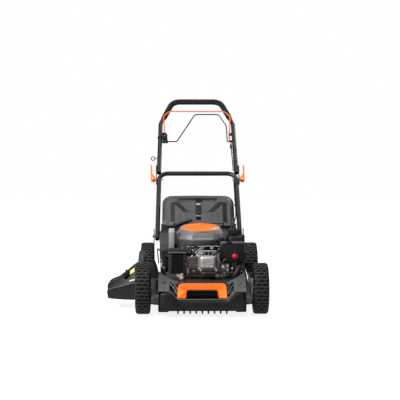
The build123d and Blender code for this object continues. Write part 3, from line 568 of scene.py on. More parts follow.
def rim(name, body, centre, ring_r, sign):
    """A moulded wheel centre: stepped barrel, dished web with ribs, hub and its washer."""
    x, y, z = centre
    solid = Solid(name + "_look")
    view = SIDE_AXIS(x)
    profile = [
        (ring_r, -24), (ring_r, 24), (ring_r - 2.5, 24), (ring_r - 4, 22.5), (ring_r - 5.5, 22),
        (ring_r - 8, 5.5), (ring_r - 13, 3), (24, 3), (20, 5), (17, 26), (15.5, 28), (6.3, 28),
        (6.3, -28), (15.5, -28), (17, -26), (20, -5), (24, -3), (ring_r - 13, -3),
        (ring_r - 8, -5.5), (ring_r - 5.5, -22), (ring_r - 4, -22.5), (ring_r - 2.5, -24),
    ]
    solid.lathe(profile, view, (y, z), wheel_plastic, segments=72, loop=True)
    ribs = 10
    for k in range(ribs):
        turn = 2 * pi * k / ribs
        along = Vector((cos(turn), sin(turn)))
        across = Vector((-along.y, along.x))
        for low, hub_h, rim_h in ((2, 24, 15), (-2, -24, -15)):
            rings = []
            for r, h, w in (
                (15, hub_h, 2.6), (ring_r * 0.55, (hub_h + rim_h) * 0.42, 2.1), (ring_r - 5.5, rim_h, 2.6),
            ):
                p = Vector((y, z)) + along * r
                a = p + across * w
                b = p - across * w
                rings.append(
                    [
                        (x + low, *a), (x + h, *(a * 0.85 + p * 0.15)), (x + h, *(b * 0.85 + p * 0.15)),
                        (x + low, *b),
                    ]
                )
            solid.loft(rings, wheel_plastic, bevel=0.5, segments=1)
    # A raised ring half way out ties the ribs together on the outer side.
    ring = ring_r * 0.62
    face = sign * 9
    solid.lathe(
        [(ring - 2, 0), (ring - 1.5, face), (ring + 1.5, face), (ring + 2, 0)], view, (y, z),
        wheel_plastic, segments=72, loop=True,
    )
    solid.lathe(
        [(7.5, sign * 28), (14, sign * 28), (14, sign * 29.2), (7.5, sign * 29.2)], view, (y, z),
        zinc, segments=32, loop=True,
    )
    return solid.done(body, replaces=[name], smooth=35)


for end, axle_y, wheel_r in (("front", -285.0, 102.0), ("rear", 325.0, 127.0)):
    for hand, sign in (("left", -1), ("right", 1)):
        hub = (sign * 235.0, axle_y, wheel_r)
        wheel = f"{end}_{hand}_wheel"
        tyre(f"{end}_{hand}_tyre", wheel, hub, wheel_r)
        rim(f"{end}_{hand}_rim", wheel, hub, wheel_r - 24, sign)


def axle_trim(end, body, pivot, axle):
    """Nut and split washer on each stub, and a pressed rib on each cranked arm."""
    solid = Solid(f"{end}_axle_trim")
    for sign in (-1, 1):
        solid.prism(circle(*axle, 8.5, 6), SIDE, (sign * 263.6, sign * 267.6), zinc, bevel=0.6)
        solid.prism(circle(*axle, 11, 24), SIDE, (sign * 263.0, sign * 264.2), zinc)
        run = Vector(axle) - Vector(pivot)
        side = Vector((-run.y, run.x)).normalized() * 4
        start, stop = Vector(pivot) + run * 0.22, Vector(pivot) + run * 0.78
        rib = rounded([tuple(start + side), tuple(stop + side), tuple(stop - side), tuple(start - side)], 3.5)
        solid.prism(rib, SIDE, (sign * 198.5, sign * 200.6), dull_zinc, bevel=0.8)
        solid.prism(circle(*pivot, 9, 24), SIDE, (sign * 198.5, sign * 201.5), dull_zinc, bevel=0.8)
    return solid.done(body)


FRONT_PIVOT = (-339.38, 76.64)
REAR_PIVOT = (270.62, 101.64)
axle_trim("front", "front_axle_assembly", FRONT_PIVOT, (-285.0, 102.0))
axle_trim("rear", "rear_axle_assembly", REAR_PIVOT, (325.0, 127.0))


def height_lever():
    """The height lever: a pressed strip with a rounded, ribbed grip and a spring tooth."""
    solid = Solid("height_lever_look")
    lean = radians(136)
    along = Vector((cos(lean), sin(lean)))
    across = Vector((-along.y, along.x))

    def on_lever(u, v, w):
        p = Vector(REAR_PIVOT) + along * u + across * v
        return (w, p.x, p.y)

    strip = rounded([(-9, -9), (170, -7), (174, 0), (170, 7), (-9, 9)], 6)
    solid.prism(strip, on_lever, (199, 203), black_steel, bevel=0.9)
    solid.prism(
        rounded([(12, -3), (118, -2.5), (118, 2.5), (12, 3)], 2.4), on_lever, (202.5, 204.4), black_steel,
        bevel=0.7,
    )
    grip = rounded([(122, -10), (146, -12.5), (165, -11), (172, 0), (165, 11), (146, 12.5), (122, 10)], 6)
    solid.prism(grip, on_lever, (191.5, 210.8), black_rubber, bevel=4, segments=3)
    for k in range(5):
        u = 130 + 8 * k
        solid.prism(plate((u, u + 3), (-9, 9), 1.2), on_lever, (210.2, 211.6), black_rubber, bevel=0.6)
    solid.prism(circle(112, 0, 5, 16), on_lever, (192, 199.5), zinc, bevel=0.6)
    return solid.done("rear_axle_assembly", replaces=["height_lever"])


height_lever()


# ---- Deck and front cover -----------------------------------------------------------------


def deck_trim():
    """Rolled skirt edge, pressed ribs, engine bolts, tunnel beads and fasteners of the deck."""
    solid = Solid("deck_trim")
    for angles in ((-50, 47), (230.5, 203), (157, 133)):
        steps = max(4, int(abs(angles[1] - angles[0]) / 6))
        arc = []
        for k in range(steps + 1):
            a = radians(angles[0] + (angles[1] - angles[0]) * k / steps)
            arc.append((263.5 * cos(a), 263.5 * sin(a), 27.5))
        solid.tube(arc, 3.0, deck_paint, sides=8, steps=2)
    # Rounded shoulder bead round the top of the blade housing.
    shoulder = []
    for k in range(64):
        a = 2 * pi * k / 64
        shoulder.append((259 * cos(a), 259 * sin(a), 126.5))
    solid.tube(
        [p for p in shoulder if p[1] < 168 and p[1] > -190 and p[0] > 0], 3.4, deck_paint, sides=8, steps=2,
    )
    # Pressed ribs on the deck's top beside the engine, and beads on the tunnel's slope and roof.
    for k in range(5):
        a = radians(-38 + 19 * k)
        u, v = cos(a), sin(a)
        solid.tube(
            [
                (128 * u, 128 * v, 127), (150 * u, 150 * v, 129.5), (232 * u, 232 * v, 129.5),
                (250 * u, 250 * v, 127),
            ],
            [3, 5, 5, 3], deck_paint, sides=10,
        )
    for x in (-118, -59, 0, 59, 118):
        solid.tube(
            [
                (x, 186, 138), (x, 196, 164), (x, 228, 236), (x, 246, 260), (x, 290, 297), (x, 306, 303),
                (x, 384, 317),
            ],
            [3, 4.6, 4.6, 4.6, 4.6, 4.6, 3], deck_paint, sides=8, steps=3,
        )
    # Engine bolts with washers, and bolts of the side port and the tunnel walls.
    for a in (35, 145, 215, 325):
        r = radians(a)
        solid.bolt((95 * cos(r), 95 * sin(r)), TOP, 136, zinc, 6, 4.5)
    for sign in (-1, 1):
        for u, v in ((190, 96), (246, 118), (306, 168), (372, 232)):
            solid.bolt((u, v), SIDE, sign * 175, dull_zinc, 4.5, sign * 3.2)
        rear = [(264, 76), (284, 76), (392, 154), (392, 312), (378, 309), (378, 164), (280, 90), (264, 90)]
        solid.prism(rounded(rear, 5), SIDE, (sign * 174.5, sign * 177), deck_paint, bevel=0.9)
    return solid.done("deck")


deck_trim()


def wing_row(x):
    """The wing's surface line at x, from the bumper up to its back edge."""
    t = (172 - abs(x)) / 74
    back_y = -235 - 88 * t**0.8
    back_z = 165 - 36 * t**0.72
    front_y = -405 + 4 * t
    front_z = 101
    rows = []
    for k in range(9):
        s = k / 8
        y = front_y + (back_y - front_y) * s
        z = front_z + (back_z - front_z) * s
        rows.append((x, y, z + 9 * sin(pi * s) * (1 - 0.35 * t)))
    return rows


def bumper_top(x):
    """How high the bumper reaches at x: high at the sides, low under the grab handle."""
    a = abs(x)
    if a > 128:
        return 101.0
    if a < 92:
        return 71.0
    t = (a - 92) / 36
    return 71.0 + 30 * t * t * (3 - 2 * t)


def front_cover():
    """The moulded front cover: bumper, two wings, slots with ribs, recess and comb."""
    solid = Solid("front_cover_look")
    # Bumper: sections across the mower, with rounded ends in plan.
    rings = []
    stations = [-172, -170.5, -167, -160, -150, -140, -128, -119, -110, -101, -92, -70, -35, 0]
    stations += [-s for s in stations[-2::-1]]
    for x in stations:
        top = bumper_top(x)
        corner = max(0.0, abs(x) - 148) / 24
        back = 18 * (1 - sqrt(max(0.0, 1 - corner * corner)))
        rings.append(
            [
                (x, -398 + back, 24), (x, -402.5 + back, 24.5), (x, -405 + back, 30), (x, -407.8 + back, 44),
                (x, -407.8 + back, top - 30), (x, -406 + back, top - 16), (x, -402 + back, top - 6),
                (x, -396 + back, top - 1.5), (x, -388 + back, top), (x, -386 + back, top - 4),
                (x, -396 + back, top - 10), (x, -402 + back, top - 28), (x, -403 + back, 36),
                (x, -398 + back, 30),
            ]
        )
    solid.loft(rings, black_plastic)
    # A raised lip line along the bumper's top edge and a second one low down.
    lip = [(x, -399.5, bumper_top(x) - 1.0) for x in range(-146, 147, 9)]
    solid.tube(lip, 1.5, lip_grey, sides=8, steps=2)
    solid.tube(
        [(-160, -401, 40), (-150, -407.2, 40), (0, -408, 40), (150, -407.2, 40), (160, -401, 40)], 1.3,
        black_plastic, sides=8,
    )
    # Wings.
    for sign in (-1, 1):
        columns = [172, 168, 160, 150, 140, 129]
        grid = [wing_row(sign * x) for x in columns]
        solid.loft(grid, cover_plastic, closed=False, thickness=3.0 * sign)
        tail = []
        for x in (129, 120, 110, 98):
            row = wing_row(sign * x)
            tail.append([row[5], row[6], row[7], row[8]])
        solid.loft([grid[-1][5:9]] + tail[1:], cover_plastic, closed=False, thickness=3.0 * sign)
        # Outer wall of the wing, down to the skirt, with the axle's cut-out left open.
        wall = [
            (-404, 26), (-405, 100), (-345, 128), (-290, 150), (-238, 165), (-235, 128), (-262, 118),
            (-300, 92), (-322, 62), (-356, 58), (-372, 34), (-384, 24),
        ]
        solid.prism(rounded(wall, 5), SIDE, (sign * 168, sign * 172), black_plastic, bevel=1.0)
        # Wall on the slot's side, a thin rib across the slot, and the slot's floor in painted shade.
        inner = [(sign * 129, *wing_row(sign * 129)[k][1:]) for k in range(9)]
        under = [
            (sign * 124, p[1] + 3, min(p[2] - 4, 122 if k > 3 else p[2] - 4) - 18)
            for k, p in enumerate(inner)
        ]
        solid.loft([inner, under], cover_plastic, closed=False, thickness=2.4 * sign)
        solid.tube(
            [(sign * 128, -352, 129), (sign * 112, -376, 112), (sign * 99, -396, 90)], 2.6, cover_plastic,
            sides=8,
        )
        solid.tube(
            [(sign * 118, -340, 131), (sign * 104, -366, 116), (sign * 92, -388, 96)], 1.8, cover_plastic,
            sides=8,
        )
        solid.prism(
            [(sign * 130, -345), (sign * 92, -345), (sign * 86, -400), (sign * 130, -400)], TOP, (64, 68),
            painted_shade,
        )
        # Screws that hold the cover.
        solid.bolt((sign * 150, -352), TOP, 133.5, dull_zinc, 3.6, 2.2)
    # Recess behind the grab handle: an upper strip in the lighter cover plastic as a painted highlight, dark
    # wall and floor.
    solid.prism(
        rounded([(-356, 68), (-356, 92), (-309, 132), (-305, 130), (-352, 90), (-352, 68)], 2), SIDE,
        (-98, 98), black_plastic,
    )
    solid.prism(
        rounded([(-372, 103), (-366, 108), (-350, 108), (-350, 103)], 1.5), SIDE, (-66, 66), cover_plastic,
        bevel=0.8,
    )
    solid.box((-100, 100), (-398, -352), (66, 69.5), black_plastic, bevel=0.6)
    for x in (-40, -20, 0, 20, 40):
        solid.box((x - 1, x + 1), (-368, -354), (70, 103), black_plastic, bevel=0.4)
    # Comb.
    for place in range(-4, 5):
        x = place * 23.7
        tooth = [(-407.5, 27), (-407, 17), (-403.5, 13.9), (-399.5, 14.5), (-398, 27)]
        solid.prism(rounded(tooth, 1.8), SIDE, (x - 3.3, x + 3.3), black_plastic, bevel=0.7)
    for sign in (-1, 1):
        solid.prism(
            rounded([(sign * 128, 25), (sign * 172, 25), (sign * 170, 20), (sign * 134, 20)], 2), FRONT,
            (-398, -388), black_plastic, bevel=0.6,
        )
    return solid.done("deck", replaces=["front_cover"], smooth=42)


front_cover()


def grab_handle():
    """The orange front grab handle, rounded all round, with its centre screw and foot pads."""
    solid = Solid("front_grab_handle_look")
    outline = [(-98, 2.5), (-94, 61), (94, 61), (98, 2.5), (64, 2.5), (60, 36), (-60, 36), (-64, 2.5)]
    shape = rounded(outline, [3, 20, 20, 3, 3, 9, 9, 3], steps=6)
    solid.prism(shape, GRAB, (-9, 9), orange_plastic, bevel=4.5, segments=4, sharp=50)
    # The centre screw head is pale: a painted glint on a small screw.
    solid.prism(circle(0, 49, 2.4, 16), GRAB, (8.6, 9.8), pale_label, bevel=0.5)
    for sign in (-1, 1):
        solid.prism(
            rounded([(sign * 66, 0.5), (sign * 99, 0.5), (sign * 98, 6), (sign * 66, 6)], 2), GRAB, (-7, 7),
            cover_plastic, bevel=1,
        )
    return solid.done("deck", replaces=["front_grab_handle"], smooth=45)


grab_handle()


def wash_port():
    """The hose port: flange, collar with grip flats and a ribbed nipple."""
    solid = Solid("wash_port_look")
    at_port = (-79, -212)
    solid.lathe(
        [(4.5, 128), (16, 128), (16, 131.2), (12, 132.4), (4.5, 132.4)], TOP, at_port, black_plastic,
        loop=True, segments=32,
    )
    solid.prism(circle(*at_port, 10, 8), TOP, (132, 141), port_plastic, bevel=1)
    ribbed = [
        (4.5, 141), (6.5, 141), (6.5, 145), (5.8, 146), (6.5, 148), (5.8, 149), (6.5, 151), (5.8, 152),
        (6.4, 154), (5.6, 155), (4.5, 155),
    ]
    solid.lathe(ribbed, TOP, at_port, pale_label, loop=True, segments=24)
    return solid.done("deck", replaces=["wash_port"])


wash_port()


# ---- Engine -------------------------------------------------------------------------------


def blower_housing():
    """The cowl: round wall, sloping cone with a flat front facet, vent grille and side duct."""
    solid = Solid("blower_housing_look")
    facet_x, facet_half = 9.0, (33.0, 43.0)
    heights = ((231, 110), (236, 112), (284, 112), (288, 110.5))
    rings = []
    count = 96
    slope = []
    for k in range(5):
        t = k / 4
        slope.append((290 + 46 * t, 109 - 26 * t + 2.2 * sin(pi * t)))
    for z, r in list(heights) + slope:
        ring = []
        cone = z >= 288
        half = facet_half[1] + (facet_half[0] - facet_half[1]) * max(0.0, (z - 290) / 46)
        for i in range(count):
            a = 2 * pi * i / count
            px, py = r * cos(a), r * sin(a)
            if cone and z < 336 and py < 0 and abs(px - facet_x) < half:
                left = -sqrt(r * r - (facet_x - half) ** 2)
                right = -sqrt(r * r - (facet_x + half) ** 2)
                t = (px - facet_x + half) / (2 * half)
                py = left + (right - left) * t + 1.5
            tilt = 0.0 if z < 300 else (z - 300) / 36 * 0.158 * py
            ring.append((px, py, z + tilt))
        rings.append(ring)
    # The round wall below the band is darker than the cone above it: painted shade.
    solid.loft(rings[:4], cowl_painted_shade, caps=False, thickness=-2.5)
    solid.loft(rings[3:], grey_plastic, caps=False, thickness=-2.5)
    # Flat facet laid over the cone: the pale front panel.
    panel = []
    for t in (0.06, 0.74):
        z = 290 + 46 * t
        r = 109 - 26 * t + 2.2 * sin(pi * t)
        half = facet_half[1] + (facet_half[0] - facet_half[1]) * t - 1.5
        row = []
        for x in (facet_x - half, facet_x, facet_x + half):
            left = -sqrt(r * r - (facet_x - half) ** 2)
            right = -sqrt(r * r - (facet_x + half) ** 2)
            s = (x - facet_x + half) / (2 * half)
            y = left + (right - left) * s
            row.append((x, y - 0.8, z + (0.0 if z < 300 else (z - 300) / 36 * 0.158 * y)))
        panel.append(row)
    solid.loft(panel, pale_grey, closed=False, thickness=1.5)
    # Lip round the cap, band where the cone meets the wall, and the lower flange.
    solid.lathe(
        [(84, -4), (87.5, -4), (87, 0.5), (84, 1.5)], CAP, (0, 0), grey_plastic, loop=True, segments=72,
    )
    solid.lathe(
        [(109, 283), (113.2, 284), (113.2, 287), (109, 289.5)], TOP, (0, 0), grey_plastic, loop=True,
        segments=96,
    )
    solid.lathe(
        [(104, 231), (115, 231), (115, 234.5), (104, 236)], TOP, (0, 0), black_plastic, loop=True,
        segments=96,
    )
    # Vent slots in the wall: recesses in painted shade between raised bars.
    for centre in (-122, -58, 20, 62, 118, 160):
        a0 = radians(centre)
        for level in range(4):
            z = 250 + 7.5 * level
            row_out, row_in = [], []
            for k in range(7):
                a = a0 + radians(-11 + 22 * k / 6)
                row_out.append((112.7 * cos(a), 112.7 * sin(a), z))
                row_in.append((112.7 * cos(a), 112.7 * sin(a), z + 3.6))
            solid.loft([row_out, row_in], painted_shade, closed=False, thickness=0.5)
    # Round boss on the right shoulder, screws and their bosses.
    solid.lathe([(0, 297), (11, 297), (13.5, 293), (13.5, 270)], TOP, (86, -78), bag_dark, segments=32)
    solid.lathe([(0, 299.4), (6, 299.4), (7, 297)], TOP, (86, -78), bag_plastic, segments=24)
    for a in (-150, -35, 38, 140):
        r = radians(a)
        spot = (107 * cos(r), 107 * sin(r))
        solid.lathe([(0, 262), (8, 262), (9.5, 258), (9.5, 234)], TOP, spot, grey_plastic, segments=24)
        solid.bolt(spot, TOP, 262, zinc, 4.2, 3)
    # Side duct: a pale slab with rounded shoulders and ribs on its outer face.
    duct = rounded([(-80, 247), (-80, 320), (-68, 332), (28, 332), (40, 318), (40, 247)], [1, 6, 8, 10, 8, 1])
    solid.prism(duct, SIDE, (-134, -111), pale_grey, bevel=2.2, segments=2)
    solid.prism(
        rounded([(-68, 256), (-68, 318), (-60, 324), (22, 324), (30, 314), (30, 256)], 5), SIDE,
        (-134.9, -133), bag_dark, bevel=0.6,
    )
    for k in range(6):
        y = -56 + 15 * k
        solid.box((-135, -133), (y, y + 3), (258, 320), grey_plastic, bevel=0.6)
    solid.box((-112, -90), (-62, 30), (262, 318), grey_plastic, bevel=4)
    # Outlet of the starter rope, on which the grip rests.
    solid.tube(
        [(-60, 64, 323), (-66, 76, 334), (-70, 84, 340), (-71.3, 88, 343)], [13, 10, 8, 7], black_plastic,
        sides=20,
    )
    return solid.done("deck", replaces=["blower_housing"], smooth=26)


blower_housing()


def starter_cover():
    """The orange starter cover: dished, with a rolled rim, raised radial ribs and a centre boss."""
    solid = Solid("starter_cover_look")
    dish = [
        (79, 0.6), (83.2, 0.6), (83.6, 2.2), (81.5, 4.6), (78, 6.2), (70, 9.4), (61, 11.8), (57, 12.3),
        (54.5, 11.6), (53, 10.9), (30, 10.9), (28.5, 11.4), (26, 12.2), (14, 12.2), (12.5, 11.4), (0, 11.2),
    ]
    solid.lathe(dish, CAP, (0, 0), orange_plastic, segments=96)
    solid.lathe([(74, 0.8), (79, 0.8), (79, 3), (74, 3)], CAP, (0, 0), orange_plastic, segments=72, loop=True)
    for k in range(24):
        a = 2 * pi * k / 24
        u = Vector((cos(a), sin(a)))
        solid.tube(
            [CAP(*(u * 32), 10.4), CAP(*(u * 36), 11.3), CAP(*(u * 48), 11.3), CAP(*(u * 52), 10.6)], 1.1,
            orange_plastic, sides=6, steps=2,
        )
    for a in (30, 150):
        r = radians(a)
        solid.lathe(
            [(0, 7.5), (3.6, 7.5), (4.4, 6.6), (4.4, 4)], CAP, (74 * cos(r), 74 * sin(r)), orange_plastic,
            segments=20,
        )
    solid.lathe([(0, 13.2), (5, 13.2), (6.2, 12), (6.2, 11)], CAP, (0, 0), orange_plastic, segments=20)
    solid.lathe([(0, 4), (6, 4), (6, -30), (0, -30)], CAP, (0, 0), steel, segments=20)
    return solid.done("deck", replaces=["starter_cover"], smooth=30)


starter_cover()


def starter_grip():
    """The pull handle on its rope: a bowed bar with a rope knot in the middle."""
    solid = Solid("starter_grip_look")
    solid.tube(
        [
            (-113, 104, 337), (-106, 104, 341), (-90, 103, 346.5), (-73, 101.5, 351), (-56, 103, 357.5),
            (-40, 104, 362.5), (-33, 104, 365),
        ],
        [3.5, 7, 7.8, 8.6, 7.8, 7, 3.5], black_rubber, sides=16,
    )
    for t in (-0.55, -0.3, 0.3, 0.55):
        x, z = -73 + 62 * t, 351 + 22 * t
        solid.tube(
            [(x - 1.6, 102.4, z - 0.6), (x, 102.4, z), (x + 1.6, 102.4, z + 0.6)], 8.7, black_rubber,
            sides=16, steps=1,
        )
    solid.tube([(-73, 103, 351), (-72.3, 98, 348), (-71.5, 91.5, 345)], 2.6, black_rubber, sides=10)
    solid.tube(
        [(-76, 94.5, 347), (-73, 96.5, 349.5), (-69.5, 96, 347.5), (-72, 94, 345)], 2.2, black_rubber,
        closed=True,
    )
    solid.tube([(-98, 95, 345), (-84, 92.5, 351), (-70, 91.5, 355.5), (-58, 93, 358.5)], 1.8, black_rubber)
    return solid.done("starter_handle", replaces=["starter_grip"])


starter_grip()


def octagon(x, z, half_x, half_z, cut):
    """A rectangle with cut corners, as an outline in the front view."""
    return [
        (x - half_x + cut, z - half_z), (x + half_x - cut, z - half_z), (x + half_x, z - half_z + cut),
        (x + half_x, z + half_z - cut), (x + half_x - cut, z + half_z), (x - half_x + cut, z + half_z),
        (x - half_x, z + half_z - cut), (x - half_x, z - half_z + cut),
    ]


def engine_block():
    """Crankcase, cylinder with its fins, and the mounting flange, all castings."""
    solid = Solid("engine_block")
    case = [
        (0, 128), (102, 128), (102, 134), (99, 136), (90, 137.5), (88, 141), (88, 200), (84, 214), (74, 222),
        (30, 228), (12.5, 230), (12.5, 236),
    ]
    solid.lathe(case, TOP, (0, 0), orange_reflection_alloy, segments=72)
    for k in range(14):
        a = radians(-160 + 360 * k / 14)
        u, v = cos(a), sin(a)
        rib = [(84, 137), (100, 137), (89, 196), (84, 206)]
        solid.prism(
            rib, lambda r, h, w, u=u, v=v: (r * u - w * v, r * v + w * u, h), (-1.8, 1.8), orange_reflection_alloy,
            bevel=0.8,
        )
    solid.prism(octagon(9, 153, 58, 21, 8), FRONT, (-112, -60), orange_reflection_alloy, bevel=3)
    solid.prism(
        rounded([(-46, 134), (66, 134), (60, 147), (-38, 147)], 5), FRONT, (-124, -100), orange_reflection_alloy,
        bevel=2.5,
    )
    for x in (-38, -10, 22, 52):
        solid.box((x - 1.6, x + 1.6), (-120, -96), (138, 170), orange_reflection_alloy, bevel=0.9)
    for x in (-30, 5, 44):
        solid.bolt((x, 158), FRONT, -112, zinc, 4.6, -4)
    # Cylinder and its fins: wide ones round the bore, short ones on the exhaust side.
    solid.box((-8, 68), (-150, -60), (164, 228), alloy_dark, bevel=3)
    solid.box((-57, -6), (-146, -92), (178, 216), alloy_dark, bevel=3)
    for fin in range(6):
        y = -148 + 10 * fin
        solid.prism(octagon(29, 200, 43, 43, 9), FRONT, (y, y + 2.6), alloy, bevel=0.8, segments=1)
    for fin in range(7):
        z = 173 + 7 * fin
        solid.prism(plate((-60, -8), (-150, -96), 6), TOP, (z, z + 2.6), alloy, bevel=0.7, segments=1)
    # Oil filler neck and a drain boss on the left.
    solid.tube([(-70, -80, 150), (-84, -100, 156), (-92, -112, 168)], [13, 11, 10], orange_reflection_alloy, sides=18)
    solid.lathe(
        [(0, 182), (11, 182), (13, 179), (13, 170), (10, 168)], TOP, (-93, -113), black_plastic, segments=24,
    )
    return solid.done("deck", replaces=["crankcase", "cylinder_block"], smooth=32)


engine_block()


def cylinder_head():
    """The head: a deep frame with cut corners, fins behind it, bolts and a hollow front."""
    solid = Solid("cylinder_head_look")
    outer = octagon(30, 200, 43, 48, 15)
    inner = octagon(29, 200, 35.5, 40, 12)
    low, high = -184, -174
    rings = [
        [FRONT(u, v, w) for u, v in shape]
        for shape, w in ((outer, high), (outer, low), (inner, low), (inner, high))
    ]
    solid.loft(rings + rings[:1], alloy_dark, caps=False, bevel=1.2, segments=2)
    for y in (-170.5, -163.5, -156.5):
        solid.prism(octagon(30, 200, 42, 47, 14), FRONT, (y, y + 3), alloy, bevel=0.8, segments=1)
    solid.prism(octagon(30, 200, 36, 40, 10), FRONT, (-176, -150), alloy_dark, bevel=1.5)
    for u, v in ((2, 236), (58, 236), (-2, 166), (62, 166)):
        solid.lathe(
            [(0, -184), (6.5, -184), (7.5, -182), (7.5, -172)], FRONT, (u, v), alloy_dark, segments=20,
        )
        solid.bolt((u, v), FRONT, -184, steel, 4.4, -3.2, washer=False)
    # The hollow front is a plate in painted shade.
    solid.prism(rounded([(8, 229), (50, 229), (54, 240), (4, 240)], 4), FRONT, (-178.5, -175), painted_shade)
    for x in (14, 30, 46):
        solid.box((x - 1.5, x + 1.5), (-183, -176), (228, 240), alloy_dark, bevel=0.6)
    return solid.done("deck", replaces=["cylinder_head"], smooth=32)


cylinder_head()


def valve_cover():
    """The silver valve cover: deep drawn, with a bead, a flange and its bolts."""
    solid = Solid("valve_cover_look")
    x, z = 25, 200
    steps = (
        (-181, 35, 29.5, 9), (-184, 35, 29.5, 9), (-185, 31.5, 26.6, 10), (-226, 30.5, 25.6, 11),
        (-231, 28.8, 24, 10), (-234, 25, 20.5, 9), (-235, 21, 17, 8),
    )
    rings = []
    for y, half_x, half_z, r in steps:
        shape = plate((x - half_x, x + half_x), (z - half_z, z + half_z), r, 5)
        rings.append([FRONT(u, v, y) for u, v in shape])
    solid.loft(rings[:3], alloy_dark)
    solid.loft(rings[2:], alloy)
    bead = plate((x - 20, x + 20), (z - 15, z + 15), 7, 5)
    solid.tube([FRONT(u, v, -234.6) for u, v in bead], 1.1, alloy, sides=8, steps=1, closed=True)
    for u, v in ((-6.5, 174.5), (56.5, 174.5), (-6.5, 225.5), (56.5, 225.5)):
        solid.bolt((u, v), FRONT, -184, zinc, 3.8, -3.4)
    solid.tube(
        [(52, -186, 226), (58, -186, 236), (70, -178, 244), (84, -160, 244)], 4, black_rubber, sides=12,
    )
    return solid.done("deck", replaces=["valve_cover"], smooth=30)


valve_cover()


def spark_plug():
    """Spark plug with its boot and lead up to the coil under the cowl."""
    solid = Solid("spark_plug_look")
    way = Vector((-0.86, 0, 0.5)).normalized()
    seat = Vector((-13, -166, 222))

    def on_plug(u, v, w):
        side = Vector((0.5, 0, 0.86)).normalized()
        return tuple(seat + way * w + side * u + Vector((0, 1, 0)) * v)

    solid.prism(circle(0, 0, 8, 6), on_plug, (0, 7), steel, bevel=0.6)
    solid.lathe([(0, 7), (5.5, 7), (5.2, 12), (0, 12)], on_plug, (0, 0), ceramic, segments=20)
    solid.lathe(
        [(0, 11), (7.5, 11), (8.2, 14), (7, 24), (6, 34), (0, 34)], on_plug, (0, 0), black_rubber,
        segments=20,
    )
    solid.tube(
        [tuple(seat + way * 30), (-42, -168, 246), (-46, -160, 262), (-38, -142, 268), (-30, -118, 258)],
        [6.5, 6, 3.6, 3.6, 3.6], black_rubber, sides=12,
    )
    return solid.done("deck", replaces=["spark_plug"])


spark_plug()


def spring(solid, start, end, radius, wire, turns, material):
    """A coil spring between two points, with straight hooks."""
    a, b = Vector(start), Vector(end)
    along = (b - a).normalized()
    side = along.orthogonal().normalized()
    other = along.cross(side)
    reach = (b - a).length
    points = [a, a + along * reach * 0.12]
    count = turns * 8
    for k in range(count + 1):
        turn = 2 * pi * k / 8
        step = 0.15 + 0.7 * k / count
        points.append(a + along * reach * step + (side * cos(turn) + other * sin(turn)) * radius)
    points += [a + along * reach * 0.88, b]
    return solid.tube(points, wire, material, sides=6, steps=1)


def linkage():
    """Governor rods, springs and throttle levers between the muffler and the carburettor."""
    solid = Solid("engine_linkage")
    solid.tube([(8, -150, 262), (-14, -158, 246), (-34, -168, 226), (-52, -170, 214)], 2.4, zinc)
    solid.tube([(20, -146, 264), (-2, -156, 246), (-20, -168, 228)], 2.0, zinc)
    solid.tube(
        [(-58, -152, 262), (-20, -156, 262), (40, -152, 263), (92, -148, 256), (98, -146, 204)], 1.6, zinc,
    )
    spring(solid, (-50, -162, 238), (-14, -158, 256), 3.4, 0.9, 9, zinc)
    spring(solid, (70, -152, 258), (96, -150, 214), 3.2, 0.8, 8, zinc)
    # A plate in painted shade behind the rods.
    solid.prism(
        rounded([(-20, 246), (66, 246), (78, 262), (-4, 266)], 4), FRONT, (-150, -146), painted_shade, bevel=0.8,
    )
    solid.prism(
        rounded([(-62, 236), (-44, 236), (-8, 262), (-26, 266)], 4), FRONT, (-160, -157), black_steel,
        bevel=0.8,
    )
    solid.bolt((-36, 246), FRONT, -160, zinc, 4.4, -3.5)
    solid.bolt((44, 256), FRONT, -150, zinc, 4, -3)
    return solid.done("deck")


linkage()


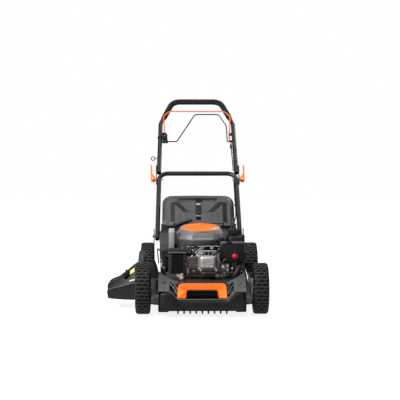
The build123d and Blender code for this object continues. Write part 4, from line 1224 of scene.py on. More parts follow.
def muffler():
    """The louvred muffler with its heat shield, side bracket and exhaust pipe."""
    solid = Solid("muffler_look")
    shell = plate((-129, -64), (151, 240), 7)
    solid.prism(shell, FRONT, (-187, -117), exhaust_steel, bevel=2.5)
    # A plate in painted shade behind the louvres.
    solid.prism(plate((-123, -70), (157, 234), 5), FRONT, (-187.6, -184), painted_shade)
    for slot in range(9):
        z = 158 + 8.6 * slot
        louvre = [(-188, z), (-184.5, z + 6.2), (-183, z + 6.2), (-186.6, z)]
        solid.prism(louvre, SIDE, (-121, -72), exhaust_steel, bevel=0.4, segments=1)
    for x in (-122.5, -70.5):
        solid.box((x - 2.2, x + 2.2), (-188, -183), (154, 237), exhaust_steel, bevel=0.8)
    solid.tube([(-66, -134, 205), (-58, -134, 205)], 12.5, alloy_dark, sides=20)
    solid.tube([(-90, -134, 205), (-60, -134, 205)], 10, exhaust_steel, sides=20)
    # Heat shield over the top: two pale lips and a perforated roof.
    roof = [(-190, 243), (-191, 252), (-184, 255), (-118, 255), (-114, 250)]
    solid.prism(
        rounded(roof + [(-116, 248), (-120, 252.6), (-183, 252.6), (-188.6, 250), (-188, 243)], 1), SIDE,
        (-152, -58), exhaust_steel, bevel=0.5,
    )
    solid.prism(
        rounded([(-193, 237), (-193.5, 242), (-188, 244), (-187, 238)], 1), SIDE, (-136, -60), dull_zinc,
        bevel=0.5,
    )
    # Holes of the perforated roof, in painted shade.
    for x in range(-140, -66, 14):
        solid.prism(plate((x, x + 9), (-172, -128), 3), TOP, (254.6, 255.4), painted_shade)
    for x in (-132, -78):
        solid.bolt((x, -150), TOP, 255, zinc, 4, 2.6)
    # Bracket on the left with its hole, post and guard.
    solid.prism(
        rounded([(-168, 226), (-130, 226), (-130, 247), (-160, 249), (-168, 242)], 4), FRONT, (-182, -178),
        deck_paint, bevel=1,
    )
    # The bracket's hole, in painted shade.
    solid.prism(circle(-156, 237, 4.6, 20), FRONT, (-182.6, -177.4), painted_shade)
    solid.box((-162, -146), (-180, -170), (130, 228), black_steel, bevel=1.5)
    solid.box((-166, -134), (-176, -132), (158, 222), black_plastic, bevel=5)
    # Slots of the guard, in painted shade.
    for z in (170, 184, 198, 212):
        solid.box((-163, -137), (-178, -175), (z, z + 4), painted_shade, bevel=0.4)
    solid.tube([(-166, -186, 216), (-160, -190, 200), (-163, -196, 184), (-150, -200, 176)], 1.6, zinc)
    solid.tube(
        [(-170, -150, 246), (-178, -140, 252), (-180, -120, 236), (-176, -110, 190)], 2.6, black_rubber,
    )
    return solid.done("deck", replaces=["muffler"], smooth=32)


muffler()


def air_cleaner():
    """The air cleaner box: bevelled pale top edge, embossed line, latch and side ribs."""
    solid = Solid("air_cleaner_look")
    front_shape = plate((80, 180), (195, 280), [10, 10, 5, 5], 5)
    solid.prism(front_shape, FRONT, (-150, -93), black_plastic, bevel=1.5)
    lid = rounded([(81, 196), (179, 196), (179, 276), (84, 276)], [10, 10, 5, 5], 5)
    rings = []
    for y, grow in ((-148, 1.2), (-156, 1.2), (-158.6, -0.4), (-160, -3)):
        rings.append(
            [FRONT(130 + (u - 130) * (1 + grow / 50), 236 + (v - 236) * (1 + grow / 42), y) for u, v in lid]
        )
    solid.loft(rings, black_plastic)
    # The bevelled top strip is in the lighter cover plastic: a painted highlight.
    strip = [(-160, 270), (-149, 280.6), (-100, 280.6), (-100, 279), (-149, 279), (-158.5, 269)]
    solid.prism(strip, SIDE, (82, 178), cover_plastic, bevel=0.4)
    solid.tube([(94, -160.3, 254), (130, -160.3, 255), (166, -160.3, 254)], 0.9, black_plastic, sides=8)
    solid.prism(plate((92, 120), (204, 212), 3), FRONT, (-161.4, -158), black_plastic, bevel=0.7)
    # Seat of the primer, with a raised ring.
    solid.lathe(
        [(13.2, -160.5), (17.5, -160.5), (16.5, -163.5), (13.2, -163.5)], FRONT, (139.5, 221), black_plastic,
        segments=36, loop=True,
    )
    for k in range(5):
        y = -142 + 10 * k
        solid.box((179, 181), (y, y + 3), (206, 272), black_plastic, bevel=0.6)
    solid.box((104, 126), (-163, -150), (276, 283.5), black_plastic, bevel=1.5)
    solid.bolt((168, -120), TOP, 280.5, black_steel, 5, 3)
    return solid.done("deck", replaces=["air_cleaner"], smooth=30)


air_cleaner()


def primer():
    """The red primer bulb, domed with a soft rim."""
    solid = Solid("primer_look")
    dome = [
        (12.3, -152), (12.3, -161.5), (11.9, -163), (10.8, -165.6), (8.6, -168), (5.4, -169.6), (2.5, -170.2),
        (0, -170.2),
    ]
    solid.lathe(dome, FRONT, (139.5, 221), red_rubber, segments=36)
    return solid.done("primer", replaces=["primer_bulb"], smooth=50)


primer()


def carburettor():
    """Carburettor: cast body, bowl with its clip and nut, flange, choke lever and hoses."""
    solid = Solid("carburettor_look")
    solid.prism(
        rounded([(76, 158), (110, 158), (112, 188), (78, 190)], 4), FRONT, (-148, -112), alloy, bevel=2,
    )
    solid.prism(octagon(75, 174, 3.5, 19, 3), FRONT, (-152, -104), alloy_dark, bevel=1)
    solid.tube([(70, -134, 176), (118, -134, 176)], 12, orange_reflection_alloy, sides=20)
    solid.lathe(
        [(0, 136), (10, 136), (13.6, 139), (14, 143), (14, 152), (15.5, 153), (15.5, 156), (0, 156)], TOP,
        (100, -131), steel, segments=32,
    )
    solid.bolt((100, -131), TOP, 136, zinc, 4.5, -4)
    solid.prism(plate((103, 115.5), (155, 190), 3), FRONT, (-154, -150), pale_grey, bevel=1)
    solid.bolt((109, 182), FRONT, -154, zinc, 3.4, -2.6)
    solid.bolt((109, 164), FRONT, -154, zinc, 3.4, -2.6)
    solid.lathe([(0, -160), (6, -160), (6.4, -152), (6.4, -140)], FRONT, (90, 180), steel, segments=20)
    solid.tube([(88, -158, 190), (92, -162, 204), (104, -160, 210)], 1.7, zinc)
    spring(solid, (82, -156, 168), (82, -156, 200), 3.6, 0.8, 6, zinc)
    solid.bolt((68, 141), FRONT, -150, zinc, 6, -5)
    solid.bolt((86, 140), FRONT, -146, zinc, 5, -5)
    # Breather elbow down from the air cleaner, with its white clip.
    solid.tube(
        [(162, -136, 196), (160, -140, 180), (152, -146, 160), (141, -150, 142), (134, -146, 131)],
        [13, 13, 12, 11.5, 11], black_rubber, sides=18,
    )
    for t in (0, 1):
        solid.tube(
            [(164 - 3 * t, -136, 190 - 8 * t), (163.4 - 3 * t, -136.6, 188.5 - 8 * t)], 14, black_rubber,
            sides=18, steps=1,
        )
    solid.tube(
        [(116, -146, 170), (124, -150, 171), (133, -149, 168), (140, -140, 160)], 3.2, black_rubber, sides=12,
    )
    solid.tube([(126, -150.4, 171.4), (130, -150.4, 170.2)], 4.4, ceramic, sides=14, steps=1)
    solid.tube(
        [(124, -60, 232), (128, -96, 196), (122, -124, 172), (112, -130, 160)], 3.2, black_rubber, sides=12,
    )
    return solid.done("deck", replaces=["carburettor"], smooth=32)


carburettor()


def fuel_tank():
    """The moulded fuel tank with its seam, filler neck and straps."""
    solid = Solid("fuel_tank_look")
    rings = []
    for z, grow in (
        (216, -12), (219, -4), (226, 0), (256, 0), (257, 2), (260, 2), (261, 0), (288, 0), (296, -4),
        (300, -13),
    ):
        shape = plate((118 - grow, 188 + min(grow, 0)), (-30 - grow, 110 + grow), 16, 5)
        rings.append([TOP(u, v, z) for u, v in shape])
    solid.loft(rings, black_plastic)
    solid.lathe(
        [(15, 296), (24, 297), (22, 303), (18, 305), (18, 322), (15, 322)], TOP, (148, 30), black_plastic,
        segments=40,
    )
    for y in (-8, 84):
        solid.prism(plate((116, 190), (214, 303), 12), FRONT, (y, y + 9), black_steel, bevel=1)
    return solid.done("deck", replaces=["fuel_tank"], smooth=35)


fuel_tank()


def fuel_cap():
    """The knurled fuel cap with a raised grip bar."""
    solid = Solid("fuel_cap_look")
    count = 48
    rings = []
    for z, low, high in (
        (306, 25, 25), (307.5, 27.4, 29.2), (324, 27.4, 29.2), (327, 26, 27), (328.4, 22, 22),
    ):
        ring = []
        for k in range(count * 2):
            a = pi * k / count
            r = high if k % 4 < 2 else low
            ring.append((148 + r * cos(a), 30 + r * sin(a), z))
        rings.append(ring)
    solid.loft(rings, black_plastic)
    solid.prism(plate((128, 168), (24, 36), 5.5), TOP, (327, 330), black_plastic, bevel=1.2)
    return solid.done("tank_cap", replaces=["fuel_cap"], smooth=30)


fuel_cap()


# ---- Grass bag, rear door and side chute --------------------------------------------------

HOOD_LINE = [
    (412, 322), (413, 334), (416, 346), (434, 368), (453, 391), (471, 413), (488, 434), (500, 446),
    (513, 456), (532, 462), (560, 465), (620, 461), (700, 452), (752, 446), (786, 430), (812, 404),
    (826, 372), (835, 340), (838, 322),
]


def step_up(t):
    """Rises smoothly from 0 to 1 as t goes from 0 to 1."""
    t = min(1.0, max(0.0, t))
    return t * t * (3 - 2 * t)


def funnel(x, z):
    """How deep the hood's front funnel is at a point, from 0 to 1."""
    low, high = 391.0, 452.0
    reach = 64 + 50 * (z - low) / (high - low)
    inside = step_up((reach - abs(x)) / 22)
    return inside * step_up((z - low + 8) / 14) * step_up((high + 2 - z) / 8)


def bag_hood():
    """The moulded hood: crowned shell with rounded sides, funnel, ribs, vents and a carry handle."""
    solid = Solid("bag_hood_look")
    stations = [-169, -168.6, -167.4, -165, -161, -156, -150, -143]
    stations += list(range(-136, 137, 4))
    stations += [143, 150, 156, 161, 165, 167.4, 168.6, 169]
    rings = []
    for x in stations:
        edge = max(0.0, abs(x) - 127) / 42
        inset = 33 * (1 - sqrt(max(0.0, 1 - edge * edge)))
        crown = 2.5 * (abs(x) / 169) ** 2
        ring = []
        for y, z in HOOD_LINE:
            lift = step_up((z - 330) / 60)
            back = step_up((y - 600) / 200)
            shift = inset * lift * 0.8
            depth = 17 * funnel(x, z) if y < 520 else 0.0
            ring.append((x, y + shift * (1 - back) - shift * back + depth, z - (inset * lift + crown * lift)))
        rings.append(ring)
    solid.loft(rings, bag_plastic, closed=False, thickness=-3)
    for sign in (-1, 1):
        side_wall = [(412, 322)] + [
            (y + (27 if y < 600 else -27), z - 33)
            for y, z in HOOD_LINE[5:15]
        ] + [(834, 322)]
        solid.prism(side_wall, SIDE, (sign * 166, sign * 168.4), bag_plastic)
        # Pressed panel lines on the roof and sides.
        solid.tube(
            [
                (sign * 118, 498, 445), (sign * 118, 522, 459), (sign * 118, 560, 464.5),
                (sign * 118, 700, 452), (sign * 118, 750, 446), (sign * 118, 800, 417),
            ],
            2.6, bag_plastic, sides=8,
        )
        for z in (346, 372, 398):
            solid.tube(
                [
                    (sign * 168.4, 452 + (z - 346) * 0.6, z), (sign * 169.2, 520, z), (sign * 169.2, 760, z),
                    (sign * 168.4, 806, z),
                ],
                1.5, bag_plastic, sides=8,
            )
        # Clips down the front edge that hold the fabric to the frame.
        for k in range(9):
            z = 228 + 20.5 * k
            y = 408
            for (y0, z0), (y1, z1) in zip(side_wall, side_wall[1:]):
                if z0 <= z < z1:
                    y = y0 + (y1 - y0) * (z - z0) / (z1 - z0) - 2
            solid.box((sign * 167, sign * 171.5), (y, y + 9), (z, z + 12), bag_dark, bevel=0.8)
    # Rim flange where the fabric starts.
    flange = plate((-171, 171), (409, 840), 16)
    inner = plate((-164, 164), (414, 833), 12)
    rings = [
        [TOP(u, v, w) for u, v in shape]
        for shape, w in ((flange, 317), (flange, 324), (inner, 324), (inner, 317))
    ]
    solid.loft(rings + rings[:1], bag_dark, caps=False)
    # Louvred vents in the roof, their openings in painted shade.
    for sign in (-1, 1):
        for k in range(9):
            y = 590 + 16 * k
            z = 464.5 - (y - 560) * 0.103
            solid.prism(plate((sign * 34, sign * 96), (y, y + 6), 2.8), TOP, (z - 3, z + 0.4), painted_shade)
            solid.tube(
                [(sign * 34, y - 1, z + 0.4), (sign * 65, y - 1, z + 1.6), (sign * 96, y - 1, z + 0.4)], 1.6,
                bag_plastic, sides=8,
            )
    # Carry handle and the filling flap behind the door.
    for x in (-48, 48):
        solid.tube(
            [(x, 758, 446), (x, 764, 455), (x * 0.94, 776, 455), (x * 0.8, 786, 450)], [8, 7, 6.5, 6.5],
            black_plastic, sides=14,
        )
    solid.tube([(-39, 786, 450), (-20, 790, 447), (20, 790, 447), (39, 786, 450)], 7, black_rubber, sides=16)
    solid.prism(plate((-26, 26), (560, 600), 8), TOP, (459, 465.6), bag_dark, bevel=1)
    solid.prism(plate((-14, 14), (442, 458), 3), FRONT, (500, 506), bag_dark)
    return solid.done("grass_bag", replaces=["bag_hood"], smooth=40)


bag_hood()


def bag_body():
    """The fabric bag: a lofted shell that sags between its frame and its seams."""
    solid = Solid("bag_fabric_shell")
    lengths = [404 + 432 * k / 30 for k in range(31)]
    rings = []
    for y in lengths:
        t = (y - 404) / 432
        low = 152 - 12 * sin(
            pi * min(1, t * 1.5) * 0.5
        ) + 70 * step_up((t - 0.84) / 0.16) + 20 * (1 - step_up(t / 0.06))
        half = 165 - 16 * step_up((t - 0.9) / 0.1) - 3 * (1 - step_up(t / 0.05))
        ring = []
        for k in range(49):
            s = k / 48
            # From the top of the left side, down, across the bottom, and up the right side.
            if s < 0.34:
                u = s / 0.34
                sag = 5.0 * sin(pi * u) * sin(pi * min(1, t * 1.02))
                x = -half - sag + 11 * step_up((u - 0.8) / 0.2)
                z = 320 - (320 - low - 12) * u
            elif s > 0.66:
                u = (1 - s) / 0.34
                sag = 5.0 * sin(pi * u) * sin(pi * min(1, t * 1.02))
                x = half + sag - 11 * step_up((u - 0.8) / 0.2)
                z = 320 - (320 - low - 12) * u
            else:
                u = (s - 0.34) / 0.32
                x = (-half + 11) + 2 * (half - 11) * u
                z = low + 12 - 12 * step_up(min(u, 1 - u) / 0.08) - 9 * sin(pi * u) * sin(pi * t)
            fold = sin(y * 0.043 + z * 0.05) * sin(z * 0.071 + x * 0.013) + 0.6 * sin(y * 0.093 + x * 0.05)
            side = 1 if x > 0 else -1
            calm = step_up(t / 0.08) * step_up((1 - t) / 0.05)
            ring.append((x + side * 1.5 * fold * calm, y, z + 1.4 * fold * calm * (1 if z < low + 30 else 0)))
        rings.append(ring)
    solid.loft(rings, bag_fabric, closed=False, thickness=2)
    # Rear panel, bulging a little, and the seam tapes round the edges.
    panel = []
    last = rings[-1]
    for k in range(7):
        t = k / 6
        row = []
        for x, y, z in last:
            row.append((x * (1 - t), y + 3 * sin(pi * t * 0.5), 320 - (320 - z) * (1 - t) if t else z))
        panel.append(row)
    solid.loft(panel, bag_fabric, closed=False, thickness=1.5)
    for ring in (rings[1], rings[29]):
        solid.tube([(p[0] * 1.004, p[1], p[2]) for p in ring[::3]], 2.2, bag_dark, sides=8, steps=3)
    for index in (16, 32):
        solid.tube(
            [(ring[index][0], ring[index][1], ring[index][2]) for ring in rings[::3]], 2.0, bag_dark, sides=8,
            steps=3,
        )
    # Frame of the mouth, with its handle strap along the bottom.
    outer = plate((-167, 167), (160, 318), 14)
    inner = plate((-159, 159), (176, 315), 9)
    mouth = [
        [FRONT(u, v, w) for u, v in shape]
        for shape, w in ((outer, 412), (outer, 405), (inner, 405), (inner, 412))
    ]
    solid.loft(mouth + mouth[:1], bag_dark, caps=False)
    solid.tube(
        [(-60, 560, 133), (-50, 590, 129), (0, 610, 127.5), (50, 590, 129), (60, 560, 133)], 4, bag_dark,
        sides=10,
    )
    return solid.done("grass_bag", replaces=["bag_body"], smooth=60)


bag_body()

DOOR_LEAN = radians(50)


def DOOR(u, v, w):
    """The rear door's view: u across, v up the door from its hinge, w out of it to the front."""
    y = 394 + v * cos(DOOR_LEAN) - w * sin(DOOR_LEAN)
    z = 331 + v * sin(DOOR_LEAN) + w * cos(DOOR_LEAN)
    return (u, y, z)


def door_rise(x, v):
    """How far the door's moulded face stands out at a point, with its panel and its funnel."""
    raised = 6 * step_up((136 - abs(x)) / 20)
    return 0.5 + raised - 9.5 * funnel(x, 331 + v * sin(DOOR_LEAN)) - 2.5 * step_up((12 - v) / 6)


def rear_door():
    """The rear door: raised panel with sloping sides, its funnel, centre strip and hinge knuckles."""
    solid = Solid("rear_door_look")
    columns = [
        -150, -148, -141, -136, -132, -124, -116, -112,
    ] + list(range(-104, 105, 8)) + [112, 116, 124, 132, 136, 141, 148, 150]
    grid = []
    for k in range(20):
        v = 8 + 126 * k / 19
        row = []
        for x in columns:
            row.append(DOOR(x, v, door_rise(x, v)))
        grid.append(row)
    solid.loft(grid, bag_plastic, closed=False, thickness=-2.5)
    # Bands of painted shade in the dark plastic: one down each side, one along each slope of the funnel.
    for sign in (-1, 1):
        for low, high, narrow, wide, slant in ((16, 133, 113, 132, 0), (76, 133, 42, 66, 50)):
            band = []
            for k in range(15):
                v = low + (high - low) * k / 14
                shift = slant * (v - low) / (high - low)
                row = []
                for j in range(6):
                    x = narrow + shift + (wide - narrow + 0.12 * slant) * j / 5
                    row.append(DOOR(sign * x, v, door_rise(x, v) + 1.1))
                band.append(row)
            solid.loft(band, bag_dark, closed=False, thickness=0.8 * sign)
    # Centre strip with its small blank plate and the latch pocket.
    strip = []
    for k in range(12):
        v = 52 + 82 * k / 11
        z = 331 + v * sin(DOOR_LEAN)
        w = 0.5 + 6 - 9.5 * funnel(0, z) + 2.2
        strip.append([DOOR(x, v, w - (1.4 if abs(x) == 14 else 0)) for x in (-14, -12, 12, 14)])
    solid.loft(strip, bag_dark, closed=False, thickness=-1.5)
    solid.prism(plate((-10, 10), (122, 130), 1.5), DOOR, (-0.2, 1.0), pale_label, bevel=0.3)
    # The latch pocket, in painted shade.
    solid.prism(plate((-12, 12), (26, 47), 2), DOOR, (5.5, 7.4), painted_shade, bevel=0.5)
    solid.prism(plate((-14, 14), (47, 51), 1.2), DOOR, (6, 8.5), pale_grey, bevel=0.5)
    for x in (-88, -60, 60, 88):
        solid.tube(
            [DOOR(x, 18, 6.4), DOOR(x, 30, 7.6), DOOR(x, 60, 7.6), DOOR(x, 72, 6.4)], 2, bag_plastic, sides=8,
        )
    # Knuckles and the spring on the hinge rod.
    for low, high in ((-150, -118), (-70, -40), (40, 70), (118, 150)):
        solid.lathe(
            [(3.1, low), (6.5, low), (6.5, high), (3.1, high)], SIDE, (394, 331), bag_plastic, segments=24,
            loop=True,
        )
        for x in (low + 4, high - 4):
            solid.prism(
                [(394, 327), (404, 336), (400, 345), (391, 336)], SIDE, (x - 2, x + 2), bag_plastic,
                bevel=0.8,
            )
    points = []
    for k in range(97):
        a = 2 * pi * k / 8
        points.append((76 + 0.36 * k, 394 + 5.2 * cos(a), 331 + 5.2 * sin(a)))
    solid.tube(points, 1.1, zinc, sides=6, steps=1)
    return solid.done("door", replaces=["rear_door"], smooth=40)


rear_door()

CHUTE_MIDDLE = [
    (-262, 127), (-262, 150), (-264, 189), (-280, 176), (-299, 160), (-322, 142), (-345, 124.5),
    (-360, 118.5), (-374, 113), (-386, 105), (-391.5, 94), (-391, 80), (-388, 49), (-380, 43),
]
CHUTE_SIDE = [
    (-262, 112), (-262, 113), (-264, 114), (-277, 108), (-299, 101.5), (-322, 95), (-345, 90), (-360, 86.5),
    (-374, 83), (-384, 80), (-391, 75), (-390.5, 64), (-388, 51), (-380, 43),
]


def side_chute():
    """The side chute: a hood with sloping flanks, ribs, hinge knuckles, latch and a plain label."""
    solid = Solid("side_chute_look")
    rows = []
    for y, t in (
        (-94, 1.0), (-92.5, 0.93), (-88, 0.82), (-64, 0.13), (-58, 0.02), (-50, 0.0), (0, 0.0), (50, 0.0),
        (58, 0.02), (64, 0.13), (88, 0.82), (92.5, 0.93), (94, 1.0),
    ):
        rows.append(
            [
                (m[0] + (s[0] - m[0]) * t, y, m[1] + (s[1] - m[1]) * t)
                for m, s in zip(CHUTE_MIDDLE, CHUTE_SIDE)
            ]
        )
    solid.loft(rows, black_plastic, closed=False, thickness=3)
    wall = CHUTE_SIDE[2:] + [(-330, 38), (-277, 36), (-258.5, 36), (-258.5, 112)]
    for sign in (-1, 1):
        solid.prism(wall, FRONT, (sign * 90.5, sign * 93.6), black_plastic)
        # Lip line, edge beads and stiffening ribs on the flank.
        solid.tube([(p[0], sign * 94, p[1]) for p in CHUTE_SIDE[3:]], 1.7, cover_plastic, sides=8, steps=2)
        solid.tube(
            [(p[0], sign * 58.5, p[1]) for p in CHUTE_MIDDLE[2:]], 1.5, cover_plastic, sides=8, steps=2,
        )
        for k in (4, 6, 8):
            m, s = CHUTE_MIDDLE[k], CHUTE_SIDE[k]
            solid.tube(
                [
                    (m[0], sign * 60, m[1] + 0.5), ((m[0] + s[0]) / 2, sign * 76, (m[1] + s[1]) / 2 + 1.2),
                    (s[0], sign * 91, s[1] + 1),
                ],
                [1.5, 2.6, 1.5], black_plastic, sides=8,
            )
        solid.tube(
            [
                (-388, sign * 90, 48), (-384, sign * 91, 43.5), (-330, sign * 91, 38.5),
                (-280, sign * 91, 36.5),
            ],
            1.8, black_plastic, sides=8,
        )
    for y in (-38, -13, 13, 38):
        solid.tube([(p[0], y, p[1] + 0.8) for p in CHUTE_MIDDLE[3:10]], 2.2, black_plastic, sides=8, steps=3)
    # Latch bracket and plain yellow label on the front flank.
    def flank(k, s, lift=2.0):
        m, e = CHUTE_MIDDLE[k], CHUTE_SIDE[k]
        t = s
        y = -58 - 36 * t
        return (m[0] + (e[0] - m[0]) * t, y - lift * 0.6, m[1] + (e[1] - m[1]) * t + lift)

    solid.loft(
        [[flank(3, 0.16), flank(4, 0.16), flank(4, 0.36)][:2], [flank(3, 0.38), flank(4, 0.38)]],
        yellow_label, closed=False, thickness=0.6,
    )
    solid.loft(
        [[flank(3, 0.80), flank(4, 0.76)], [flank(3, 0.90), flank(4, 0.87)]], port_plastic, closed=False,
        thickness=0.6,
    )
    # A patch of painted shade on the front flank, near the latch bracket.
    solid.loft(
        [[flank(4, 0.18, 5), flank(5, 0.2, 5)], [flank(4, 0.46, 5), flank(5, 0.5, 5)]], painted_shade,
        closed=False, thickness=5,
    )
    solid.box((-318, -300), (-50, -30), (146, 158), black_plastic, bevel=3)
    for low, high in ((-94, -62), (-16, 16), (62, 94)):
        rings = []
        for y in (low, high):
            rings.append(
                [(-270 + 6 * cos(a / 24 * 2 * pi), y, 132 + 6 * sin(a / 24 * 2 * pi)) for a in range(24)]
            )
        solid.loft(rings, black_plastic, bevel=0.6)
    points = []
    for k in range(105):
        a = 2 * pi * k / 8
        points.append((-270 + 5.4 * cos(a), 20 + 0.36 * k, 132 + 5.4 * sin(a)))
    solid.tube(points, 1.1, zinc, sides=6, steps=1)
    return solid.done("chute", replaces=["side_chute"], smooth=32)


side_chute()


def side_flap():
    """The upright flap over the chute's hinge: ribbed plate with rounded ears."""
    solid = Solid("side_flap_look")
    shape = plate((-85, 85), (141, 235), [4, 4, 26, 18], 6)

    def on_flap(u, v, w):
        return (-264 + (v - 141) * 0.06 + w, u, v)

    solid.prism(shape, on_flap, (0.4, 3.2), bag_plastic, bevel=0.8)
    rim_line = plate((-81, 81), (146, 231), [4, 4, 22, 15], 5)
    solid.tube([on_flap(u, v, 0.6) for u, v in rim_line], 2.0, bag_plastic, sides=8, steps=1, closed=True)
    # Returns along both upright edges, which wrap round the corner towards the deck.
    for sign in (-1, 1):
        wall = rounded([(-0.5, 172), (24, 184), (24, 226), (16, 232), (-0.5, 232)], 3)
        solid.prism(
            [(w, v) for w, v in wall], lambda w, v, u: on_flap(u, v, w), (sign * 82, sign * 84.6),
            bag_plastic, bevel=0.6,
        )
    for u in (-45, 0, 45):
        solid.tube(
            [on_flap(u, 152, 0.4), on_flap(u, 164, -0.8), on_flap(u, 214, -0.8), on_flap(u, 226, 0.4)], 2.2,
            bag_plastic, sides=8,
        )
    # A strip of painted shade along the flap's lower edge.
    solid.prism(plate((-84, 84), (142, 150), 2), on_flap, (-2, 3.6), painted_shade, bevel=0.8)
    return solid.done("chute", replaces=["side_flap"], smooth=35)


side_flap()


def trail_flap():
    """The rubber trailing flap with ribs and a scalloped lower edge."""
    solid = Solid("trail_flap_look")
    edge = [(-165, 144), (-165, 16)]
    for k in range(23):
        edge.append((-157.5 + 15 * k - 3.5, 12.5))
        edge.append((-157.5 + 15 * k + 4, 12.5 if k % 2 else 20))
    edge += [(165, 16), (165, 144)]
    solid.prism(edge, FRONT, (390.6, 393.4), black_rubber)
    for z in (30, 52, 74, 96, 118):
        solid.tube([(-160, 394, z), (0, 394.4, z), (160, 394, z)], 1.7, black_rubber, sides=8)
    solid.lathe(
        [(3.1, -160), (5.6, -160), (5.6, 160), (3.1, 160)], SIDE, (392, 148), black_rubber, segments=20,
        loop=True,
    )
    return solid.done("trailing_flap", replaces=["trail_flap"], smooth=35)


trail_flap()


# ---- Handle: grip, pod, levers, guides and cables -----------------------------------------


def HANDLE_PIN(sign):
    """A view along a cam lever's cross pin: u outwards, v up the handle, w out of its plane."""

    def view(u, v, w):
        return HANDLE(sign * u, v, w)

    return view


def grip_sleeve():
    """Foam sleeve round the top of the handle, with rolled ends and a split line."""
    solid = Solid("grip_sleeve_look")
    arch = [(-173, 885), (-125, 1020), (125, 1020), (173, 885)]
    line = rounded(arch, [0, 40, 40, 0], 7)
    dense = []
    for (u0, v0), (u1, v1) in zip(line, line[1:]):
        runs = max(1, round(hypot(u1 - u0, v1 - v0) / 9))
        for k in range(runs):
            dense.append((u0 + (u1 - u0) * k / runs, v0 + (v1 - v0) * k / runs))
    dense.append(line[-1])
    count = len(dense)
    radii = []
    for k in range(count):
        end = min(k, count - 1 - k)
        radii.append(14.4 - (2.2 if end == 0 else 0.7 if end == 1 else 0.0) + 0.18 * sin(k * 1.7))
    solid.tube([HANDLE(u, v, 0) for u, v in dense], radii, foam, sides=28, steps=1)
    for sign in (-1, 1):
        solid.tube(
            [HANDLE(sign * 173.4, 884, 0), HANDLE(sign * 171.8, 888.5, 0)], 12.4, black_rubber, sides=28,
            steps=1,
        )
    solid.tube([HANDLE(u, v, -14.2) for u, v in dense[2:-2]], 0.8, black_rubber, sides=6, steps=1)
    return solid.done("upper_handle_frame", replaces=["grip_sleeve"], smooth=50)


grip_sleeve()


def control_pod():
    """The moulded pod inside the left leg: case with a seam, pivot bosses, a screw and a clamping band."""
    solid = Solid("control_pod_look")
    rings = []
    for n, inset in (
        (-11.8, 4.2), (-10.6, 1.6), (-8, 0.2), (1.4, 0), (1.8, 0.9), (2.6, 0.9), (3.0, 0), (12, 0.4),
        (14.8, 2.0), (15.8, 4.6),
    ):
        shape = plate((-176.8 + inset, -151.2 - inset), (718.2 + inset, 757.8 - inset), 8, 6)
        rings.append([HANDLE(u, v, n) for u, v in shape])
    solid.loft(rings, black_plastic)
    # The screw's pocket, in painted shade.
    solid.prism(plate((-172, -156), (727, 750), 3.5), HANDLE, (15.2, 16.2), painted_shade, bevel=0.4)
    solid.bolt((-164, 738), HANDLE, 15.8, zinc, radius=3.2, height=1.4, washer=False)
    # Bosses round the two bail pivots, and the band that clamps the pod to the leg.
    for v, inner, outer in ((765, 158.5, 10.2), (711, 148, 9.2)):
        solid.lathe(
            [(3.7, 176.6), (outer, 176.2), (outer, inner + 2), (outer - 1.6, inner), (3.7, inner - 0.4)],
            HANDLE_SIDE(-1), (v, 0), black_plastic, segments=28, loop=True,
        )
    band = []
    for k in range(28):
        c, s = cos(2 * pi * k / 28), sin(2 * pi * k / 28)
        band.append(HANDLE(-188.4 + 12.2 * c, 738, 12.2 * s))
    solid.tube(band, 1.8, black_plastic, sides=8, steps=1, closed=True)
    for v in (711, 765):
        solid.lathe(
            [(3.6, 176.4), (3.6, 168), (6.6, 168), (8.0, 170), (8.2, 174), (7.4, 176.4)], HANDLE_SIDE(1),
            (v, 0), black_plastic, segments=24, loop=True,
        )
    return solid.done("upper_handle_frame", replaces=["control_pod"], smooth=35)


def HANDLE_SIDE(sign):
    """A view across the handle: u up the handle, v out of its plane, w outwards on one side."""

    def view(u, v, w):
        return HANDLE(sign * w, u, v)

    return view


control_pod()


def cam_lever(side, sign):
    """An over-centre lever: forked cam block and a waisted arm that tapers to a rounded, ribbed tip."""
    solid = Solid("cam_lever_" + side + "_look")
    view = HANDLE_PIN(sign)
    fork = rounded([(208.4, 434), (210.9, 429.6), (215, 427), (223.2, 427.2), (228, 430.6), (230, 436),
                    (230, 462), (223, 468), (214, 455), (208.4, 448)], [2, 2, 2, 2, 2, 2, 3, 3, 8, 4], 5)
    solid.prism(fork, view, (4.9, 10.6), orange_plastic, bevel=1.2)
    solid.prism(fork, view, (-10.6, -4.9), orange_plastic, bevel=1.2)
    solid.prism(rounded([(222, 446), (230, 446), (230, 466), (222.4, 466)], 2), view, (-6, 6), orange_plastic)
    rings = []
    for k in range(29):
        t = k / 28
        v = 452 + 81 * t
        wide = 10.4 - 3.0 * sin(
            pi * min(1, t * 1.1)
        ) ** 2 if t < 0.95 else 10.2 - 5.5 * ((t - 0.95) / 0.05) ** 2
        thick = 4.7 - 1.0 * t
        mid = 226.0 + 2.4 * sin(pi * t * 0.5)
        if t > 0.97:
            thick *= 0.6
        ring = []
        for a in range(20):
            c, s = cos(2 * pi * a / 20), sin(2 * pi * a / 20)
            ring.append(
                view(mid + thick * copysign(abs(c) ** 0.55, c), v, wide * copysign(abs(s) ** 0.55, s))
            )
        rings.append(ring)
    solid.loft(rings, orange_plastic)
    for v in (508, 514, 520, 526):
        solid.tube(
            [view(230.6, v, -6.5), view(231.4, v, 0), view(230.6, v, 6.5)], 0.9, orange_plastic, sides=6,
            steps=3,
        )
    for w in (-1, 1):
        solid.lathe(
            [(0.2, w * 10.4), (3.4, w * 10.4), (4.0, w * 11.2), (3.8, w * 11.8), (0.2, w * 12)], view,
            (219, 437), zinc, segments=20,
        )
    return solid.done(side + "_cam", replaces=["cam_lever_" + side], smooth=38)


cam_lever("left", -1)
cam_lever("right", 1)


